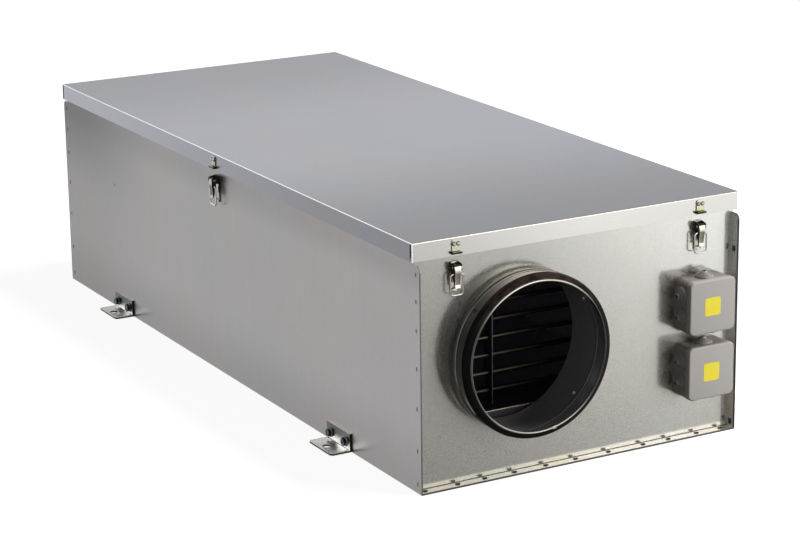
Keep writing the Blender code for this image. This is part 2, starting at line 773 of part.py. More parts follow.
def make_unit():
    clear_scene()
    galvanised = finish_material("galvanised sheet", (0.56, 0.56, 0.55), 0.38, 0.85)
    side_sheet = finish_material("brushed side sheet", (0.42, 0.41, 0.40), 0.45, 0.8)
    lid_sheet = finish_material("lid sheet", (0.40, 0.40, 0.42), 0.4, 0.8)
    spigot_steel = finish_material("spigot steel", (0.50, 0.50, 0.49), 0.3, 0.95)
    rubber = finish_material("rubber", (0.03, 0.022, 0.02), 0.6, 0.0)
    latch_steel = finish_material("plated latch steel", (0.66, 0.64, 0.58), 0.25, 1.0)
    wire = finish_material("bright wire", (0.7, 0.7, 0.68), 0.2, 1.0)
    yellow_zinc = finish_material("yellow zinc", (0.72, 0.68, 0.45), 0.3, 1.0)
    plastic = finish_material("grey plastic", (0.36, 0.34, 0.32), 0.5, 0.0)
    heater_steel = finish_material("heater steel", (0.30, 0.30, 0.29), 0.45, 0.9)
    rod_steel = finish_material("element tube", (0.16, 0.12, 0.10), 0.4, 0.8)

    make_bottom_panel(side_sheet)
    make_side_panel("left_side_panel", -1, side_sheet)
    make_side_panel("right_side_panel", 1, side_sheet)
    make_lid(lid_sheet)
    for name, end in (("front", -1), ("rear", 1)):
        make_end_panel(name + "_end_panel", end, galvanised)
        make_spigot(name + "_spigot", end, spigot_steel)
        make_spigot_gasket(name + "_spigot_gasket", end, rubber)
        make_foot(name + "_left_foot", -1, end, galvanised)
        make_foot(name + "_right_foot", 1, end, galvanised)
    make_latches(latch_steel, wire, yellow_zinc)
    make_junction_box("upper_junction_box", UPPER_BOX_Z, plastic, plastic)
    make_junction_box("lower_junction_box", LOWER_BOX_Z, plastic, plastic)
    make_heater(heater_steel, rod_steel)


make_unit()
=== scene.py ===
"""Looks of the duct air handling unit: finishes, fasteners, turned pieces, camera and light.

Everything is in metres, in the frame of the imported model: +Z up, -Y towards the connection end.
"""

import json
import math

import bpy
from mathutils import Matrix, Vector


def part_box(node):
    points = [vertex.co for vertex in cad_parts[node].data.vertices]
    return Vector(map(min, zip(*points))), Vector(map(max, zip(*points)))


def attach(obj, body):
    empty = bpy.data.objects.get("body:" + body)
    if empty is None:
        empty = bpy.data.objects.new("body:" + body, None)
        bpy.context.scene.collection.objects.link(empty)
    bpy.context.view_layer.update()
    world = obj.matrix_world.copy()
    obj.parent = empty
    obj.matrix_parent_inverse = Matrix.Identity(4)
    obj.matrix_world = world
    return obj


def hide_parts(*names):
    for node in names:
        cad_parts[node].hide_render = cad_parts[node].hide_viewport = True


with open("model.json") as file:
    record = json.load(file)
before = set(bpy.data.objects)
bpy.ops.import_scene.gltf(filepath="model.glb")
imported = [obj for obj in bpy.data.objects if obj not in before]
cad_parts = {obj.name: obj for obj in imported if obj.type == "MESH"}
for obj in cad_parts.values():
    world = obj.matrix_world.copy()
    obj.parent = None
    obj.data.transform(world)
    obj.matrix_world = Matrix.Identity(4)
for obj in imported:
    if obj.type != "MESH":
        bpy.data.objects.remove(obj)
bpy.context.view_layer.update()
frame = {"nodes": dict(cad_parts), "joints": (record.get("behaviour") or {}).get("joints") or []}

# The camera of the photograph, in metres, degrees and millimetres
CAMERA_PLACE = (-1.9985, -3.7008, 1.3435)
CAMERA_AZIMUTH = 29.09
CAMERA_DIP = 15.93
CAMERA_ROLL = -0.76
CAMERA_LENS = 113.34
CAMERA_SENSOR = 36.0

# Casing, read from the frame
lid_low, lid_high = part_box("lid")
left_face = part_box("left_side_panel")[0].x
right_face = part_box("right_side_panel")[1].x
side_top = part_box("left_side_panel")[1].z
flange_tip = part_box("left_side_panel")[1].y
FLANGE_REACH = 0.018
SHEET = 0.001
SEAM = 0.0003
end_face = flange_tip - FLANGE_REACH
lip_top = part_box("front_end_panel")[0].z + SHEET
inner_face = right_face - 2 * SHEET - 2 * SEAM
DARK_INSIDE_START, DARK_INSIDE_FULL = 0.035, 0.040
ENDS = (("front", -1), ("rear", 1))
SIDES = (("left", -1), ("right", 1))

# Spigot, measured outward from the face of its end
spigot_low, spigot_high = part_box("front_spigot")
spigot_x = (spigot_low.x + spigot_high.x) / 2
spigot_z = (spigot_low.z + spigot_high.z) / 2
spigot_reach = -spigot_low.y - end_face
spigot_tail = -spigot_high.y - end_face
BEAD_HEIGHT = 0.0023
BEAD_CENTRE = 0.0097
BEAD_HALF_WIDTH = 0.0047
BEAD_END = BEAD_CENTRE + BEAD_HALF_WIDTH
spigot_radius = (spigot_high.x - spigot_low.x) / 2 - BEAD_HEIGHT
SPIGOT_WALL = 0.0012
inner_radius = spigot_radius - SPIGOT_WALL
RIM_ROLL = 0.0020
RIM_INSET = 0.0054
RIM_TAPER = 0.0035
taper_start = spigot_reach - RIM_TAPER
GROOVE_DEPTH = 0.0004
SPIGOT_STEPS = 128
GASKET_WIDTH = 0.012
GASKET_LIPS = 2
GASKET_BAND = 0.0010
GASKET_LIP = 0.0014
STRIP_THICKNESS = 0.0006

# Small fasteners
BOLT_FLANGE_RADIUS = 0.0078
BOLT_HEAD_RADIUS = 0.0067
BOLT_HEIGHT = 0.0068
BOLT_WASHER = 0.0015
BOLT_SPREAD = 0.025
BOLT_LEVEL = 0.0145
BOLT_TURNS = (12, 35)
SCREW_RADIUS = 0.0028
SCREW_HEIGHT = 0.0018
RIVET_RADIUS = 0.0031
RIVET_HEIGHT = 0.0013
RIVET_OUT = 0.0203
RIVET_ANGLES = (140, 222)
INNER_RIVET_OUT = 0.0015
INNER_RIVET_ANGLES = (30.5, 140, 222, 317)
SKIRT = 0.0002

# Feet
FOOT_SHEET = 0.003
FOOT_HOLE_REACH = 0.0235
FOOT_HOLE_RADIUS = 0.0066

# Latches, in the coordinates of the lever's pivot
LEVER_LEAN = 0.12
LEVER_WEB_TOP = 0.0075
LEVER_BEND = 0.008
LEVER_RAIL_END = 0.026
LEVER_SINK = 0.0006
BAIL_EASE = 0.0007
BAIL_WIRE = 0.0013
BAIL_CORNER = 0.0054
BAIL_GAP = 0.0045
BAIL_DROP = 0.010
PIN_REACH = 0.0070
PIN_RADIUS = 0.0019
BASE_PLATE = 0.0015
KEEPER_BEND = 0.0236
KEEPER_BAND = 0.0300
KEEPER_SCREW_LEVEL = 0.0350
KEEPER_SCREWS = ((-0.0035, 0.4), (0.0035, 0.9))
KEEPER_RING_RADIUS = 0.0034
KEEPER_HEAD_SCALE = (0.88, 0.88, 1.1)

# Junction boxes
BOX_LEDGE = 0.0008
BOX_CORNER = 0.0085
BOX_WALL = 0.0022
BOX_FLOOR = 0.0025
COVER_CORNER = 0.0090
COVER_EDGE = 0.0026
ENTRY_DEPTH = 0.0188
ENTRY_SPREAD = 0.017
LABEL_HALF = 0.0145
LABEL_CORNER = 0.0035
LABEL_THICKNESS = 0.00015
GROMMET_RADIUS = 0.0145
GROMMET_RISES = (0.0030, 0.0014, 0.0013, 0.0012, 0.0010)
GROMMET_FALLS = (0.0016, 0.0023, 0.0022, 0.0020, 0.0016)

# Pressed marks along the folded seams
SIDE_MARK_HEIGHTS = (0.0144, 0.0662, 0.1313, 0.1934, 0.251, 0.2955, 0.3365)
SIDE_MARK_SETBACK = 0.012
SIDE_MARK_RADII = (0.0016, 0.0038)
DOME_RADII = (0.0046, 0.0036, 0.0022)
FLOOR_MARKS = (-0.273, -0.217, -0.170, -0.118, -0.062, -0.008, 0.052, 0.1165, 0.164, 0.2175, 0.263)
FLOOR_MARK_REACH = 0.0075
FLANGE_MARK_REACH = 0.0085
FLANGE_MARK_LOWEST = 0.011
FLANGE_MARK_STEP = 0.0565
FLANGE_MARK_COUNT = 7
FLANGE_MARK_HEADROOM = 0.03

# The heater
HEATER_BASE = 0.080
# Much darker than the casing's sheet: painted shade inside the casing.
HEATER_COLOUR = (0.085, 0.085, 0.10)

MERGE = 0.00001
SPECK = 0.0001

finishes = {}


class Number:
    """A value that varies over a surface. Python's operators on it add Math nodes."""

    def __init__(self, shader, socket):
        self.shader = shader
        self.socket = socket

    def maths(self, operation, left, right):
        return self.shader.number("ShaderNodeMath", {"operation": operation}, {0: left, 1: right})

    def __add__(self, other):
        return self.maths("ADD", self, other)

    def __radd__(self, other):
        return self.maths("ADD", other, self)

    def __sub__(self, other):
        return self.maths("SUBTRACT", self, other)

    def __rsub__(self, other):
        return self.maths("SUBTRACT", other, self)

    def __mul__(self, other):
        return self.maths("MULTIPLY", self, other)

    def __rmul__(self, other):
        return self.maths("MULTIPLY", other, self)

    def __pow__(self, other):
        return self.maths("POWER", self, other)

    def __rpow__(self, other):
        return self.maths("POWER", other, self)

    def __abs__(self):
        return self.maths("ABSOLUTE", self, 0.0)


class Shader:
    """A node tree that is built node by node, on one kind of coordinates."""

    def __init__(self, tree, coordinates):
        self.tree = tree
        self.here = self.add("ShaderNodeTexCoord").outputs[coordinates]

    def add(self, kind, settings=None, values=None):
        """A node with its settings, and with values or links fed into its sockets."""
        node = self.tree.nodes.new(kind)
        for setting, value in (settings or {}).items():
            setattr(node, setting, value)
        for socket, value in (values or {}).items():
            self.feed(node.inputs[socket], value)
        return node

    def feed(self, socket, value):
        if isinstance(value, Number):
            value = value.socket
        if isinstance(value, bpy.types.NodeSocket):
            self.tree.links.new(value, socket)
        elif socket.type == "RGBA":
            socket.default_value = (*value, 1.0)
        else:
            socket.default_value = value

    def number(self, kind, settings, values, output=0):
        return Number(self, self.add(kind, settings, values).outputs[output])

    def axes(self):
        """The three coordinates of the place that is shaded."""
        node = self.add("ShaderNodeSeparateXYZ", None, {"Vector": self.here})
        return [Number(self, output) for output in node.outputs]

    def step(self, value, low, high, start=0.0, end=1.0):
        """Smoothly from start, where the value is low, to end, where it is high."""
        values = {"Value": value, "From Min": low, "From Max": high, "To Min": start, "To Max": end}
        return self.number("ShaderNodeMapRange", {"interpolation_type": "SMOOTHSTEP"}, values, "Result")

    def blend(self, amount, first, second, kind="MIX"):
        settings = {"data_type": "RGBA", "blend_type": kind}
        return self.add("ShaderNodeMix", settings, {0: amount, 6: first, 7: second}).outputs[2]

    def seen_by(self, *rays):
        """1 where a ray of one of these kinds looks, 0 elsewhere."""
        path = self.add("ShaderNodeLightPath")
        seen = Number(self, path.outputs[rays[0]])
        for ray in rays[1:]:
            seen = seen.maths("MAXIMUM", seen, path.outputs[ray])
        return seen


class Finish(Shader):
    """One material, on Object coordinates."""

    def __init__(self, name, colour, roughness, metallic=0.0):
        self.material = bpy.data.materials.new(name)
        self.material.use_nodes = True
        super().__init__(self.material.node_tree, "Object")
        self.surface = self.tree.nodes["Principled BSDF"]
        self.set(Base_Color=colour, Roughness=roughness, Metallic=metallic)

    def set(self, **values):
        for socket, value in values.items():
            self.feed(self.surface.inputs[socket.replace("_", " ")], value)
        return self.material

    def mapped(self, stretch):
        return self.add("ShaderNodeMapping", None, {"Vector": self.here, "Scale": stretch}).outputs[0]

    def noise(self, scale, detail=3.0, stretch=(1.0, 1.0, 1.0), roughness=0.5):
        values = {"Vector": self.mapped(stretch), "Scale": scale, "Detail": detail, "Roughness": roughness}
        return self.number("ShaderNodeTexNoise", None, values)

    def flakes(self, scale):
        """A random number in each crystal of the zinc."""
        values = {"Vector": self.mapped((1.0, 1.0, 1.0)), "Scale": scale}
        cells = self.add("ShaderNodeTexVoronoi", None, values)
        return self.number("ShaderNodeSeparateColor", None, {"Color": cells.outputs["Color"]})

    def distance(self, point):
        values = {0: self.here, 1: point}
        return self.number("ShaderNodeVectorMath", {"operation": "DISTANCE"}, values, "Value")

    def shaded(self, colour, amount):
        """The colour times an amount round 1."""
        grey = self.add("ShaderNodeCombineColor", None, {0: amount, 1: amount, 2: amount}).outputs[0]
        return self.blend(1.0, colour, grey, "MULTIPLY")

    def bump(self, height, depth, under=None):
        values = {"Height": height, "Distance": depth, "Strength": 1.0}
        if under is not None:
            values["Normal"] = under
        return self.add("ShaderNodeBump", None, values).outputs[0]


def zinc_sheet(name, colour, roughness, metallic, flake_shade, grain, grain_shade, wave_depth):
    """Galvanised sheet: zinc crystals, a rolling grain and the slight waves of thin sheet."""
    finish = Finish(name, colour, roughness, metallic)
    crystals = finish.flakes(300.0) - 0.5
    speckle = finish.noise(900.0, 2.0) - 0.5
    clouds = finish.noise(7.0, 4.0) - 0.5
    rolled = finish.noise(1.0, 4.0, grain, 0.6)
    finish.shade = (
        1.0
        + flake_shade * crystals
        + 0.5 * flake_shade * speckle
        + 0.06 * clouds
        + grain_shade * (rolled - 0.5)
    )
    warm = tuple(c * w for c, w in zip(colour, (1.01, 1.0, 0.98)))
    cool = tuple(c * w for c, w in zip(colour, (0.985, 1.0, 1.01)))
    finish.tone = finish.blend(finish.step(finish.noise(4.5, 3.0), 0.35, 0.65), cool, warm)
    finish.set(
        Base_Color=finish.shaded(finish.tone, finish.shade),
        Roughness=roughness + 0.3 * flake_shade * crystals + 0.04 * clouds,
        Normal=finish.bump(rolled, 0.00002, finish.bump(finish.noise(3.0, 1.0), wave_depth)),
    )
    return finish


def darker_inside(finish, shade):
    """Shade a sheet, and make it darker and not metallic inside the casing."""
    across, along, up = finish.axes()
    room = finish.step(up, DARK_INSIDE_START, DARK_INSIDE_FULL)
    for place, face in ((abs(across), right_face), (abs(along), end_face), (up, lid_high.z + 0.010)):
        room = room * finish.step(place, face - DARK_INSIDE_FULL, face - DARK_INSIDE_START, 1.0, 0.0)
    return finish.set(
        Base_Color=finish.blend(room, finish.shaded(finish.tone, shade), (0.26, 0.25, 0.30)),
        Metallic=finish.step(room, 0.2, 0.8, 0.9, 0.0),
    )


def specks(finish):
    """Sparse small dark specks in the zinc."""
    return finish.step(finish.noise(420.0, 2.0), 0.69, 0.75, 1.0, 0.80)


def cut_edge(finish, place, tip, start, end):
    """From start, on the sheet, to end on its cut edge."""
    return finish.step(place, tip - 0.0022, tip - 0.0017, start, end)


def side_sheet_finish():
    """Brushed side sheet with a scuff near the left rear, and painted light and shade: painted shade on the
    cut edges, a painted shadow under the lid, painted shade towards the rear top and near the bottom, and a
    little painted light, most at the front.
    """
    colour = (0.465, 0.446, 0.438)
    finish = zinc_sheet("brushed side sheet", colour, 0.30, 0.92, 0.03, (9, 60, 5), 0.06, 0.0006)
    _, along, up = finish.axes()
    scuff = finish.step(finish.distance((left_face, 0.4466, 0.2343)), 0.0015, 0.0040, 0.45, 1.0)
    # Painted light and shade: darker cut edges, a shadow under the lid, shade at the rear top and near the
    # bottom, light towards the front.
    edge = cut_edge(finish, abs(along), flange_tip, 1.0, 0.35)
    painted_shadow_under_lid = finish.step(up, lid_low.z - 0.045, lid_low.z, 1.0, 0.86)
    rear = 1.0 - finish.step(along, 0.2, 0.65) * finish.step(up, 0.18, 0.33, 0.16, 0.50)
    front = finish.step(along, -0.65, -0.1, 1.05, 1.02)
    foot = finish.step(up, 0.0, 0.12, 0.80, 1.0)
    return darker_inside(finish, finish.shade * scuff * edge * painted_shadow_under_lid * rear * front * foot)


def galvanised_finish():
    """Bright end sheet with painted light and shade: painted shade on the cut edges of its lips, painted
    light on its flanges, most on the bottom lip, painted shade on the left and near the bottom, and painted
    light on the right.
    """
    colour = (0.56, 0.556, 0.538)
    finish = zinc_sheet("galvanised end sheet", colour, 0.19, 0.93, 0.035, (90, 90, 4), 0.03, 0.0004)
    across, along, up = finish.axes()
    # Painted light and shade: cut edges darkened, flanges lightened, the sheet darker on the left and near
    # the bottom and lighter on the right.
    edge = cut_edge(finish, abs(along), flange_tip, 1.0, 0.3)
    flange = finish.step(abs(along), end_face + 0.0006, end_face + 0.0014)
    lip = 1.0 + flange * finish.step(up, lip_top + 0.001, lip_top + 0.002, 0.75, 0.25)
    left = finish.step(across, -0.27, 0.25, 0.85, 1.20)
    low = finish.step(up, 0.02, 0.14, 0.94, 1.0)
    finish.set(Roughness=0.16 + 0.42 * finish.step(finish.noise(1100.0, 2.0), 0.51, 0.59))
    return darker_inside(finish, finish.shade * edge * lip * left * low * specks(finish))


def lid_finish():
    """Satin top and duller long skirts, with painted light and shade: painted highlights on the folds and on
    the ends of the end skirts, painted reflection gradients along the top and the long skirts and across the
    end skirts, a painted shadow along the hem, and a brighter sheet on both end skirts, partly painted
    light.
    """
    finish = zinc_sheet("lid sheet", (0.43, 0.43, 0.462), 0.30, 0.92, 0.02, (5, 60, 5), 0.02, 0.0006)
    across, along, up = finish.axes()
    end_skirt = finish.step(abs(along), lid_high.y - 0.0008, lid_high.y - 0.0003)
    long_skirt = finish.step(abs(across), lid_high.x - 0.0008, lid_high.x - 0.0003)
    # Painted highlight along the folds round the top.
    fold = finish.step(up, lid_high.z - 0.0015, lid_high.z - 0.0012)
    fold = fold * finish.step(up, lid_high.z - 0.0004, lid_high.z - 0.0001, 1.0, 0.0)
    # Painted shadow along the bottom edge of the skirts.
    hem_painted_shadow = finish.step(up, lid_low.z + 0.0009, lid_low.z + 0.0015, 1.0, 0.0)
    # Painted highlight on both ends of each end skirt.
    side_edge_painted_highlight = end_skirt * cut_edge(finish, abs(across), lid_high.x, 0.0, 1.0)
    speckle = finish.noise(900.0, 2.0) - 0.5
    # Painted reflection: the top and the long skirts lighter and darker along the lid.
    top_painted_reflection = finish.step(along, -0.66, -0.1, 0.745, 1.21) * finish.step(along, 0.1, 0.66, 1.0, 0.74)
    skirt_painted_reflection = finish.step(along, -0.66, 0.66, 0.74, 1.27)
    shade = finish.shade * (top_painted_reflection + long_skirt * (skirt_painted_reflection - top_painted_reflection))
    # Painted reflection across the end skirts, lightest near the middle.
    end_skirt_painted_reflection = finish.step(across, -0.25, 0.0, 1.09, 1.26) * finish.step(across, 0.0, 0.25, 1.0, 0.89)
    shade = shade + end_skirt * (end_skirt_painted_reflection * specks(finish) - shade) + 0.06 * speckle * end_skirt
    shade = shade * (1.0 - hem_painted_shadow * (0.2 + 0.4 * end_skirt))
    # The end skirts are a brighter, warmer sheet, partly painted light.
    tone = finish.shaded(finish.blend(end_skirt, finish.tone, (0.527, 0.522, 0.508)), shade)
    # The painted highlights of the folds and the skirt ends.
    bright = fold.maths("MAXIMUM", fold, side_edge_painted_highlight)
    return finish.set(
        Base_Color=finish.blend(bright, tone, (0.90, 0.89, 0.86)),
        Roughness=0.30 - 0.07 * end_skirt + 0.02 * speckle,
    )


def foot_finish():
    """Zinc on thick steel, with painted shade that darkens it up the bracket."""
    finish = zinc_sheet("foot steel", (0.88, 0.87, 0.84), 0.26, 0.93, 0.06, (60, 20, 60), 0.08, 0.00005)
    # Painted shade: darker up the bracket.
    upright = finish.step(finish.axes()[2], 0.004, 0.020, 1.0, 0.15)
    return finish.set(Base_Color=finish.shaded(finish.tone, finish.shade * upright))


def spigot_finish():
    """Rolled steel: fine lines run round the tube, and the inside is duller and darker, its darker colour
    painted shade; with a painted highlight line at the bead inside, a painted glint round the rolled rim,
    and painted shade, bluish, on the left of the tube.
    """
    colour = (0.25, 0.25, 0.26)
    finish = Finish("rolled spigot steel", colour, 0.3, 0.95)
    across, along, up = finish.axes()
    across, up, out = across - spigot_x, up - spigot_z, abs(along) - end_face
    radius = (across * across + up * up) ** 0.5
    lines = finish.noise(1.0, 3.0, (4, 1500, 4), 0.6) - 0.5
    stains = finish.noise(16.0, 4.0) - 0.5
    outside = finish.step(radius, spigot_radius - 0.8 * SPIGOT_WALL, spigot_radius - 0.4 * SPIGOT_WALL)
    rim = finish.step(out, taper_start, taper_start + 0.0005)
    clean = outside.maths("MAXIMUM", outside, rim)
    # Painted highlight: a bright line round the inner wall at the bead.
    bead = finish.step(abs(out - BEAD_END), 0.0003, 0.0009, 1.0, 0.0) * (1.0 - clean)
    shade = (1.0 + 0.16 * lines + 0.25 * stains) * (1.0 + 4.5 * bead)
    # The inside keeps the darker colour: painted shade.
    tone = finish.blend(outside, colour, (0.35, 0.345, 0.325))
    tone = finish.blend(rim, tone, (0.22, 0.216, 0.205))
    # Painted glint: the rolled rim lightest at the top, then the bottom, darkest on the right.
    rim_painted_glint = (
        0.35
        + finish.step(across, -0.1, 0.1, 0.3, 0.0)
        + finish.step(abs(up), 0.06, 0.11, 0.0, 1.1)
        + finish.step(up, 0.06, 0.11, 0.0, 0.8)
    )
    # Painted shade, bluish, on the left of the tube's outside.
    left = finish.step(across, -0.115, -0.02, 1.0, 0.0) * finish.step(up, -0.08, 0.01)
    painted_shade_left = outside * (1.0 - rim) * left
    shade = shade * (1.0 + rim * (rim_painted_glint - 1.0)) * (1.0 - 0.5 * painted_shade_left)
    tone = finish.blend(0.6 * painted_shade_left, tone, (0.29, 0.32, 0.37))
    return finish.set(
        Base_Color=finish.shaded(tone, shade),
        Metallic=0.35 + 0.6 * clean,
        Roughness=0.40 - 0.21 * clean + 0.08 * stains + 0.06 * lines,
        Normal=finish.bump(lines, 0.00004),
    )


def rubber_finish():
    """Black rubber with grey-brown patches, more of them towards the top."""
    colour = (0.007, 0.0065, 0.007)
    finish = Finish("gasket rubber", colour, 0.5)
    up = finish.axes()[2]
    grey_brown_patches = finish.noise(60.0, 4.0) * finish.step(up, spigot_z + 0.03, spigot_z + 0.11, 0.5, 1.4)
    return finish.set(
        Base_Color=finish.blend(finish.step(grey_brown_patches, 0.45, 0.8, 0.0, 0.6), colour, (0.060, 0.038, 0.034)),
        Roughness=0.42 + 0.2 * (grey_brown_patches - 0.5),
        Normal=finish.bump(finish.noise(900.0, 2.0), 0.00003),
        Specular_IOR_Level=0.06,
    )


def plated_finish(name, colour, tint, roughness):
    """Plated steel: bright, with a tint that comes and goes and fine scratches."""
    finish = Finish(name, colour, roughness, 1.0)
    patches = finish.noise(120.0, 3.0)
    scratches = finish.noise(1.0, 2.0, (1500, 1500, 120), 0.6) - 0.5
    base = finish.blend(finish.step(patches, 0.35, 0.7), colour, tint)
    return finish.set(
        Base_Color=finish.shaded(base, 1.0 + 0.25 * scratches),
        Roughness=roughness + 0.16 * (patches - 0.5),
        Normal=finish.bump(scratches, 0.00002),
    )


def plastic_finish(name, colour, roughness):
    """Moulded plastic with a fine spark-eroded texture and faint handling marks."""
    finish = Finish(name, colour, roughness)
    grain = finish.noise(2200.0, 2.0) - 0.5
    marks = finish.noise(22.0, 4.0) - 0.5
    return finish.set(
        Base_Color=finish.shaded(colour, 1.0 + 0.06 * marks + 0.05 * grain),
        Roughness=roughness + 0.10 * marks,
        Normal=finish.bump(grain, 0.00005),
        Specular_IOR_Level=0.4,
    )


def label_finish():
    colour = (0.98, 0.83, 0.06)
    finish = Finish("yellow film", colour, 0.38)
    wear = finish.noise(70.0, 4.0) - 0.5
    return finish.set(
        Base_Color=finish.shaded(colour, 1.0 + 0.12 * wear),
        Roughness=0.36 + 0.1 * wear,
        Normal=finish.bump(wear, 0.00005),
    )


def element_finish():
    """Heat-browned tube, darker in patches, with painted shade that darkens it away from the light."""
    colour = (0.11, 0.09, 0.075)
    finish = Finish("element tube", colour, 0.42, 0.7)
    heat = finish.noise(14.0, 3.0)
    browned = finish.blend(finish.step(heat, 0.35, 0.7), colour, (0.06, 0.055, 0.055))
    # Painted shade: darker towards the right, away from the light.
    far = finish.step(finish.axes()[0], spigot_x - 0.08, spigot_x + 0.06, 0.85, 0.6)
    return finish.set(
        Base_Color=finish.shaded(browned, far),
        Roughness=0.34 + 0.2 * (heat - 0.5),
        Normal=finish.bump(finish.noise(300.0, 2.0), 0.00003),
    )


# Near-black steel for painted shade: in slots, dents and bends, on the latch's top cap and base, in rings
# round the keeper's screws, and on the spigots' outer rivets.
def recess_finish():
    finish = Finish("shadowed recess", (0.05, 0.048, 0.045), 0.6, 0.6)
    return finish.set(Roughness=0.55 + 0.2 * (finish.noise(500.0, 2.0) - 0.5))


def set_mode(mode):
    bpy.ops.object.mode_set(mode=mode)


def deselect_all():
    if bpy.context.mode != "OBJECT":
        set_mode("OBJECT")
    bpy.ops.object.select_all(action="DESELECT")


def use_only(piece):
    deselect_all()
    piece.select_set(True)
    bpy.context.view_layer.objects.active = piece


def select_parts(piece, kind, wanted):
    """Enter edit mode with what the test picks: faces by middle and normal, edges by both ends."""
    set_mode("EDIT")
    bpy.ops.mesh.select_mode(type=kind)
    bpy.ops.mesh.select_all(action="DESELECT")
    set_mode("OBJECT")
    points = [vertex.co for vertex in piece.data.vertices]
    if kind == "FACE":
        for face in piece.data.polygons:
            face.select = wanted(face.center, face.normal)
    else:
        for edge in piece.data.edges:
            edge.select = wanted(*(points[index] for index in edge.vertices))
    set_mode("EDIT")


def round_off(piece, kind, wanted, offset, segments):
    """Round the edges that the test picks, or the rims of the faces that it picks."""
    select_parts(piece, kind, wanted)
    bpy.ops.mesh.bevel(offset=offset, segments=segments, affect="EDGES")
    set_mode("OBJECT")


def sink(piece, wanted, insets, shift):
    """Inset the faces that the test picks, step by step, and shift their middle."""
    select_parts(piece, "FACE", wanted)
    for thickness in insets:
        bpy.ops.mesh.inset(thickness=thickness)
    bpy.ops.transform.translate(value=shift)
    set_mode("OBJECT")


def front_at(depth):
    """A test that picks the face towards -Y at a depth."""
    return lambda middle, normal: abs(middle.y - depth) < MERGE and normal.y < -0.9


def paint_faces(piece, names, choose):
    """Give each face one of the finishes, which the test picks by the face's middle and normal."""
    piece.data.materials.clear()
    for name in names:
        piece.data.materials.append(finishes[name])
    for face in piece.data.polygons:
        face.material_index = choose(face.center, face.normal)


def smooth_by(degrees):
    bpy.ops.object.shade_smooth_by_angle(angle=math.radians(degrees))


def dress(piece, name, finish, smooth=None, stands_for=(), body="casing"):
    """Smooth, name and paint a finished piece, and let it ride on its body."""
    if smooth:
        use_only(piece)
        smooth_by(smooth)
    piece.name = name
    piece.data.name = name
    if finish:
        piece.data.materials.clear()
        piece.data.materials.append(finishes[finish])
    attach(piece, body)
    if stands_for:
        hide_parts(*stands_for)


def placed():
    """The primitive just added, with its place and size moved into its mesh."""
    bpy.ops.object.transform_apply()
    return bpy.context.object


def block(corner, opposite):
    """A box between any two opposite corners."""
    low, high = (Vector(pick(pair) for pair in zip(corner, opposite)) for pick in (min, max))
    deselect_all()
    bpy.ops.mesh.primitive_cube_add(size=1.0, location=(low + high) / 2, scale=high - low)
    return placed()


def cylinder(sides, radius, height, middle, scale=(1, 1, 1)):
    """An upright cylinder."""
    deselect_all()
    size = {"radius": radius, "depth": height, "scale": scale}
    bpy.ops.mesh.primitive_cylinder_add(vertices=sides, location=middle, **size)
    return placed()


def merge_doubles():
    """In edit mode, merge what lies in one place and turn all faces outward."""
    bpy.ops.mesh.select_all(action="SELECT")
    bpy.ops.mesh.remove_doubles(threshold=MERGE)
    bpy.ops.mesh.normals_make_consistent(inside=False)


def spun(outline, centre, axis, steps, angle_deg=360.0):
    """Extrude a point along an outline, and spin the outline round an axis."""
    deselect_all()
    outline = [Vector(point) for point in outline]
    bpy.ops.mesh.primitive_plane_add(size=SPECK, location=outline[0])
    piece = placed()
    set_mode("EDIT")
    bpy.ops.mesh.select_mode(type="VERT")
    bpy.ops.mesh.select_all(action="SELECT")
    bpy.ops.mesh.merge(type="CENTER")
    for here, there in zip(outline, outline[1:]):
        bpy.ops.mesh.extrude_region_move(TRANSFORM_OT_translate={"value": there - here})
    bpy.ops.mesh.select_all(action="SELECT")
    bpy.ops.mesh.spin(steps=steps, angle=math.radians(angle_deg), center=centre, axis=axis)
    merge_doubles()
    set_mode("OBJECT")
    return piece


def turned_button(profile, steps):
    """A solid of revolution about +Z at the origin, from (radius, height) pairs."""
    return spun([(radius, 0, height) for radius, height in profile], (0, 0, 0), (0, 0, 1), steps)


def join(pieces):
    use_only(pieces[0])
    for piece in pieces:
        piece.select_set(True)
    bpy.ops.object.join()
    return pieces[0]


def discard(*pieces):
    for piece in pieces:
        bpy.data.objects.remove(piece, do_unlink=True)


def new_object(name, data):
    piece = bpy.data.objects.new(name, data)
    bpy.context.scene.collection.objects.link(piece)
    return piece


def apply_modifier(piece, kind, **settings):
    use_only(piece)
    modifier = piece.modifiers.new("form", kind)
    for setting, value in settings.items():
        setattr(modifier, setting, value)
    bpy.ops.object.modifier_apply(modifier=modifier.name)


def carve(piece, tool):
    """Cut one mesh out of another for good."""
    apply_modifier(piece, "BOOLEAN", operation="DIFFERENCE", object=tool)
    discard(tool)


def copies(master, places):
    """One object that holds a copy of the master at each place."""
    made = []
    for place in places:
        made.append(new_object("copy", master.data.copy()))
        made[-1].data.transform(place)
    return join(made)


def turn(degrees, axis):
    return Matrix.Rotation(math.radians(degrees), 4, axis)


def facing(point, outward):
    """A place whose +Z points outward at the point, and whose +X stays level."""
    outward = Vector(outward).normalized()
    up = Vector((0, 0, 1))
    level = up.cross(outward) if abs(outward.z) < 0.9 else Vector((1, 0, 0))
    level.normalize()
    rows = Matrix((level, outward.cross(level), outward)).transposed().to_4x4()
    return Matrix.Translation(point) @ rows


def clean_form(piece, bevel, smooth):
    """Merge the doubles of a copied CAD mesh, ease its edges and smooth its curves."""
    use_only(piece)
    set_mode("EDIT")
    merge_doubles()
    bpy.ops.mesh.dissolve_limited(angle_limit=math.radians(0.5))
    set_mode("OBJECT")
    if bevel:
        limit = {"limit_method": "ANGLE", "angle_limit": math.radians(smooth)}
        apply_modifier(piece, "BEVEL", width=bevel, segments=2, **limit)
    smooth_by(smooth)


